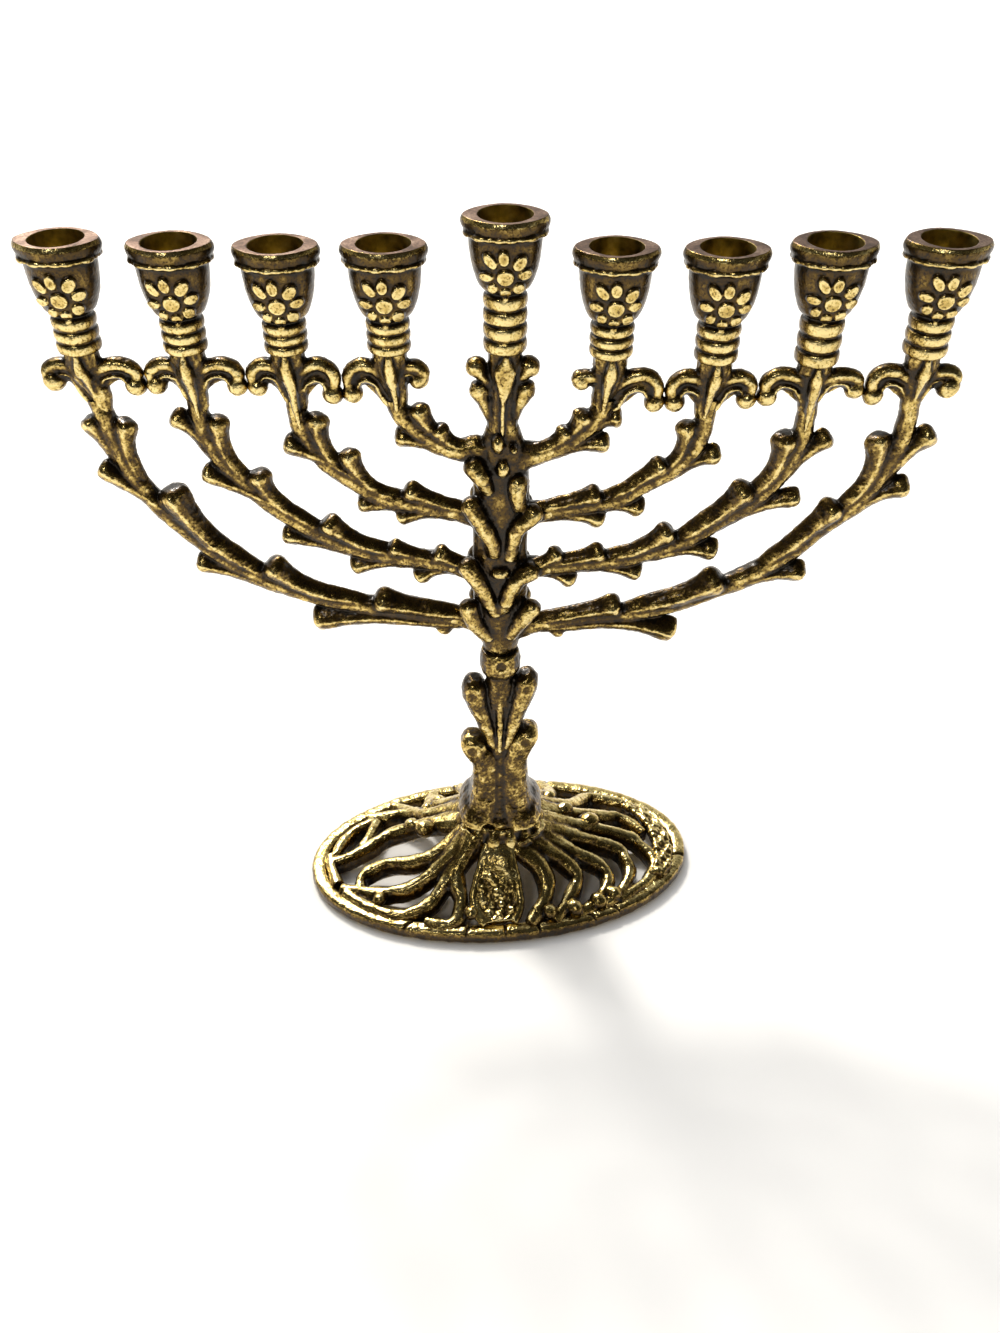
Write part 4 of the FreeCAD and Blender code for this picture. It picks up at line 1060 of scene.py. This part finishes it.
def shamash_stalk():
    low, high = corners("shamash_stalk")
    x = (corners("cup_shamash")[0].x + corners("cup_shamash")[1].x) / 2
    height = high.z - low.z
    middle = (low.x + high.x) / 2
    half = (high.x - low.x) / 2
    bm = bmesh.new()
    strand(bm, [(0.5, 0, low.z - 2.5, 2.4, 2.2), (0.5, 0, low.z, 3.3, 2.9),
                (middle, 0, low.z + height * 0.45, 2.7, 2.7), (x, 0, low.z + height * 0.8, 3.3, 3.1),
                (x, 0, high.z + 1.2, 3.5, 3.4)], power=ROUND)
    for face in (-1, 1):
        rows = [(middle + across * half, face * (2.6 + out), low.z + height * z, wide, 1.1)
                for across, out, z, wide in stalk_leaf_shares]
        strand(bm, rows, power=ROUND)
    for line in stalk_curl_shares:
        strand(bm, [(middle + across * half, 0, low.z + height * z, size, size * 1.15)
                    for across, z, size in line], power=1.8)
        across, z, size = line[-2]
        bmesh.ops.create_icosphere(bm, subdivisions=3, radius=size * 1.08, matrix=Matrix.Translation(
            (middle + across * half, 0, low.z + height * z)))
    return cast("shamash_stalk", bm, ["shamash_stalk"], bare=-0.03)


def press_in(points, dents):
    """Press round dents into a skin: place, radius, and the push in millimetres."""
    for place, radius, push in dents:
        away = np.linalg.norm(points - np.array(place), axis=1)
        share = np.clip(1 - away / radius, 0, 1) ** 0.5
        points += share[:, None] * np.array(push)
    return points


def stem_lower():
    low, high = corners("stem_lower")
    height = high.z - low.z
    radius = high.x
    bm = bmesh.new()
    core = [(low.z - 0.2, radius * 0.9, radius * 0.84, ROUND),
            (low.z + 1.2, radius * 0.86, radius * 0.8, ROUND)]
    for share, wide, deep in stem_core_shares:
        core.append((low.z + height * share, radius * wide, radius * deep, ROUND))
    core.append((high.z + 2.0, radius * 0.28, radius * 0.24, ROUND))
    upright(bm, 0, 0, core, sides=32)
    strand(bm, [(0, 0, low.z + up, wide, deep) for up, wide, deep in stem_groove], power=4.0)
    for side, top, reach in foot_knob_tops:
        rows = [(side * x, 0, low.z + up, wide, deep) for up, x, wide, deep in foot_bone]
        rows += [(side * (reach + x), 0, top + up, wide, deep) for up, x, wide, deep in foot_knob]
        strand(bm, rows, power=3.0, sides=24)
    dents = [((-2.9, -radius * 0.95, low.z), 2.0, (0, 1.6, 1.2)),
             ((-7.0, -4.4, 43.8), 1.5, (0.1, 0.4, -0.1)), ((6.4, -4.2, 46.9), 1.4, (0, 0.35, -0.1))]
    # The foot's sides are given ways too, so they are drawn bright as painted light
    return cast("stem_lower", bm, ["stem_lower"], lump=0.55, pit=0.22,
                shape=lambda points: press_in(points, dents),
                polish_and_light_ways=(FRONT, Vector((0, -0.8, 0.6)), Vector((-0.8, -0.6, 0.1)), Vector((0.8, -0.6, 0.1))),
                bare=-0.06)


def stem_upper():
    low, high = corners("stem_upper")
    height = high.z - low.z
    bm = bmesh.new()
    upright(bm, 0, 0, [(low.z - 2.0, 3.6, 2.8, ROUND), (low.z + 1.0, 3.8, 2.9, ROUND),
                       (low.z + height * 0.45, 3.6, 2.6, ROUND), (low.z + height * 0.7, 3.4, 2.6, ROUND),
                       (high.z + 2.0, 2.6, 2.4, ROUND)], sides=24)
    strand(bm, [(0, 0, 66.4, 3.2, 3.2), (0, 0, 68.2, 4.5, 4.5), (0, 0, 71.4, 4.8, 4.7),
                (0, 0, 73.8, 4.3, 3.9)], power=2.6, sides=18, between=2)
    for line in (stem_bone_left, stem_bone_right):
        strand(bm, [(x, 0, z, wide, deep) for x, z, wide, deep in line], power=2.2, sides=20)
    for face in (-1, 1):
        strand(bm, [(-0.1, face * 3.6, low.z - 7.5, 0.5, 0.6), (0, face * 3.2, low.z, 0.8, 0.7),
                    (0, face * 2.7, low.z + 5, 0.9, 0.7), (0.1, face * 2.1, low.z + 10, 0.7, 0.6)],
               power=ROUND)
    dents = [((0.3, -4.6, 71.4), 1.3, (0, 0.5, 0)), ((-6.8, -3.7, 61.2), 1.4, (0, 0.35, 0)),
             ((6.8, -3.7, 63.6), 1.3, (0, 0.35, 0))]
    return cast("stem_upper", bm, ["stem_upper"], lump=0.5, pit=0.2, bare=-0.06,
                shape=lambda points: press_in(points, dents))


# Base

def slope_point(share_x, share_y, sink):
    """A place on the base's slope before the turn, sunk below its surface."""
    x = base_half_length * share_x
    y = base_half_width * share_y
    away = hypot(x, y)
    angle = atan2(y, x)
    edge = base_half_length * base_half_width / hypot(base_half_width * cos(angle),
                                                      base_half_length * sin(angle))
    share = min(max((away - hub_radius) / (edge - hub_radius), 0), 1)
    return (x, y, slope_foot + slope_rise * (1 - share) ** slope_power - sink)


def turn_base(bm):
    bmesh.ops.rotate(bm, verts=bm.verts, cent=(0, 0, 0), matrix=Matrix.Rotation(radians(base_turn), 3, "Z"))


def base_rim():
    bm = bmesh.new()
    steps = 96
    rows = []
    for step in range(steps + 1):
        angle = 2 * pi * step / steps
        rows.append(((base_half_length - rim_width / 2) * cos(angle),
                     (base_half_width - rim_width / 2) * sin(angle),
                     rim_thickness / 2, rim_width / 2 + 0.05, rim_thickness / 2 + 0.02))
    strand(bm, rows, outward=UP, power=3.4, sides=16, between=1)
    turn_base(bm)
    return cast("base_rim", bm, ["base_rim"], shape=score_rim, polish_and_light_ways=(UP,), bare=0.06)


def score_rim(points):
    """The short cuts across the rim, where the roots' ends meet in the mould."""
    for bearing in rim_cut_bearings:
        angle = radians(bearing)
        across = np.abs(points[:, 0] * sin(angle) - points[:, 1] * cos(angle))
        ahead = points[:, 0] * cos(angle) + points[:, 1] * sin(angle) > 0
        depth = rim_cut_depth * np.clip(1 - across / rim_cut_half_width, 0, 1)
        high = np.clip(points[:, 2] / rim_thickness, 0, 1)
        points[:, 2] -= depth * ahead * high
    return points


def root_end(x, y):
    """A place in shares of the base's half sizes, drawn back to where a root runs into the rim."""
    reach = hypot(x, y)
    back = min(root_reach / reach, 1)
    return x * back, y * back


def roots(name):
    bm = bmesh.new()
    deep = root_thickness / 2
    for line in root_shares[name]:
        rows = []
        for number, (x, y) in enumerate(line):
            x, y = root_end(x, y)
            place = slope_point(x, y, deep - slope_proud)
            away = hypot(place[0], place[1]) - hub_radius
            near = hub_spread * exp(-away / hub_spread_length)
            size = root_radius * (1.0 + 0.12 * (-1) ** number + near)
            rows.append((*place, size, deep))
        first = rows[0]
        away = hypot(first[0], first[1])
        if away < hub_radius * 1.5:
            start = (first[0] / away * hub_radius * 0.8, first[1] / away * hub_radius * 0.8, hub_top)
            rows.insert(0, (*start, root_radius * 1.7, deep))
        strand(bm, rows, outward=UP, power=2.3)
    for x, y, size in root_lumps[name]:
        place = slope_point(x / base_half_length, y / base_half_width, size * 0.2)
        bead(bm, place, UP, size * 1.15, size, size, along=Vector((x, y, 0)))
    turn_base(bm)
    return cast(name, bm, [name], polish_and_light_ways=(UP,), bare=0.08)


def base_collar():
    low, high = corners("base_collar")
    radius = high.x
    bm = bmesh.new()
    inside = high.z - collar_wall
    rows = [(height, reach, reach, ROUND) for height, reach in (
        (inside, screw_hole_radius), (inside, radius * 0.71), (low.z, radius * 0.92),
        (low.z + 0.6, radius * 0.95), (high.z - 3.5, radius * 0.9), (high.z - 1.5, radius * 0.84),
        (high.z, radius * 0.8), (high.z, screw_hole_radius))]
    upright(bm, 0, 0, rows)
    for bearing in collar_root_bearings:
        side, out = cos(radians(bearing)), sin(radians(bearing))
        strand(bm, [(side * radius * 0.68, out * radius * 0.68, high.z - 0.8, 1.6, 1.8),
                    (side * radius * 0.84, out * radius * 0.84, high.z - 3.2, 2.1, 1.7),
                    (side * radius * 0.89, out * radius * 0.89, low.z + 0.2, 2.4, 1.5)],
               outward=Vector((side, out, 0)), power=1.8)
    return cast("base_collar", bm, ["base_collar"], polish_and_light_ways=(UP, FRONT))


def pebbles(bm, spots):
    """Round grains of uneven size on the base, at places in millimetres before its turn."""
    for number, (x, y) in enumerate(spots):
        size = pebble_radius * (1 + 0.28 * sin(number * 2.4))
        place = slope_point(x / base_half_length, y / base_half_width, 0.0)
        bead(bm, place, UP, size, size, size * 1.2, along=Vector((1, 0, 0)))


def medallion_plate():
    bm = bmesh.new()
    rows = [(*slope_point(x, y, plate_half_thickness - slope_proud), plate_half_width * wide,
             plate_half_thickness) for x, y, wide in plate_shares]
    strand(bm, rows, outward=UP, power=2.6, sides=20)
    for line in border_shares:
        strand(bm, [(*slope_point(x, y, border_radius * 0.8), border_radius, border_radius * 1.2)
                    for x, y in line], outward=UP, power=ROUND)
    centre_x = medallion_centre[0] * base_half_length
    centre_y = medallion_centre[1] * base_half_width
    spots = []
    for row in range(-5, 6):
        for column in range(-5, 6):
            across = (column + 0.5 * (row % 2) + 0.28 * sin(row * 5.1 + column * 3.3)) * pebble_spacing
            up = (row + 0.28 * sin(row * 3.7 + column * 7.9)) * pebble_spacing * 0.87
            if (across / medallion_half_width) ** 2 + (up / medallion_half_height) ** 2 < 1:
                spots.append((centre_x + across, centre_y + up))
    pebbles(bm, spots)
    turn_base(bm)
    return cast("medallion_plate", bm, ["medallion_plate"], voxel=cup_voxel, polish_and_light_ways=(UP, FRONT), bare=0.18,
                shape=sink_oval)


def sink_oval(points):
    """Set the medallion's pebbled oval down into its plate."""
    turn = radians(base_turn)
    x = points[:, 0] * cos(turn) + points[:, 1] * sin(turn) - medallion_centre[0] * base_half_length
    y = points[:, 1] * cos(turn) - points[:, 0] * sin(turn) - medallion_centre[1] * base_half_width
    away = np.hypot(x / medallion_half_width, y / medallion_half_height)
    points[:, 2] -= oval_depth * np.clip((1.12 - away) / 0.12, 0, 1)
    return points


def base_end_band():
    bm = bmesh.new()
    rows = [(*slope_point(x, y, band_half_thickness + 0.2), band_half_width, band_half_thickness)
            for x, y in band_shares]
    strand(bm, rows, outward=UP, power=3.0, sides=16)
    fine = eased([np.array(row, float) for row in band_shares], 6)
    spots = []
    for number, (x, y) in enumerate(fine[1:-1]):
        for offset in (-1, 0, 1):
            wander = 0.3 * sin(number * 3 + offset * 2)
            spots.append(((x * base_half_length) + offset * 1.45 + wander, y * base_half_width + wander))
    pebbles(bm, spots)
    turn_base(bm)
    return cast("base_end_band", bm, ["base_end_band"], voxel=cup_voxel, polish_and_light_ways=(UP,), bare=0.12)


# Studio

def studio():
    bm = bmesh.new()
    bmesh.ops.create_grid(bm, x_segments=1, y_segments=1, size=4.0)
    mesh = bpy.data.meshes.new("floor")
    bm.to_mesh(mesh)
    bm.free()
    floor = bpy.data.objects.new("floor", mesh)
    floor.data.materials.append(make_backdrop())
    bpy.context.scene.collection.objects.link(floor)

    for name, place, aim, size, power in lamps:
        lamp = bpy.data.lights.new(name, "AREA")
        lamp.shape = "DISK"
        lamp.size = size
        lamp.energy = power
        light = bpy.data.objects.new(name, lamp)
        light.location = place
        light.rotation_euler = (Vector(aim) - Vector(place)).to_track_quat("-Z", "Y").to_euler()
        bpy.context.scene.collection.objects.link(light)

    world = bpy.data.worlds.new("studio")
    world.use_nodes = True
    bpy.context.scene.world = world
    world.node_tree.nodes.clear()
    place = add(world, "ShaderNodeTexCoord")
    lean = add(world, "ShaderNodeVectorMath", [(0, place.outputs["Generated"])], operation="DOT_PRODUCT")
    lean.inputs[1].default_value = room_lean
    shift = add(world, "ShaderNodeMath", [(0, lean.outputs["Value"])])
    shift.inputs[1].default_value = 0.5
    room = ramp(world, shift.outputs[0], room_stops)
    glow = add(world, "ShaderNodeBackground", [("Color", room.outputs["Color"])], Strength=room_strength)
    add(world, "ShaderNodeOutputWorld", [("Surface", glow.outputs[0])])

    scene = bpy.context.scene
    scene.view_settings.view_transform = "Standard"
    lens = bpy.data.cameras.new("camera")
    lens.sensor_fit = "VERTICAL"
    lens.sensor_height = sensor_height
    lens.lens = sensor_height * photo_focal_pixels / photo_height_pixels
    camera = bpy.data.objects.new("camera", lens)
    camera.location = camera_place
    camera.rotation_euler = (radians(90 - camera_pitch), 0, 0)
    scene.collection.objects.link(camera)
    scene.camera = camera


studio()
for cup_name in ARM_LEVELS:
    cup(cup_name, neck_rings)
    calyx(cup_name)
    arm(cup_name)
cup("shamash", middle_neck_rings)
trunk()
shamash_stalk()
stem_lower()
stem_upper()
base_rim()
base_collar()
medallion_plate()
base_end_band()
for group in root_shares:
    roots(group)
for fastener in ("base_washer", "base_screw"):
    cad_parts[fastener].material_slots[0].material = zinc_steel
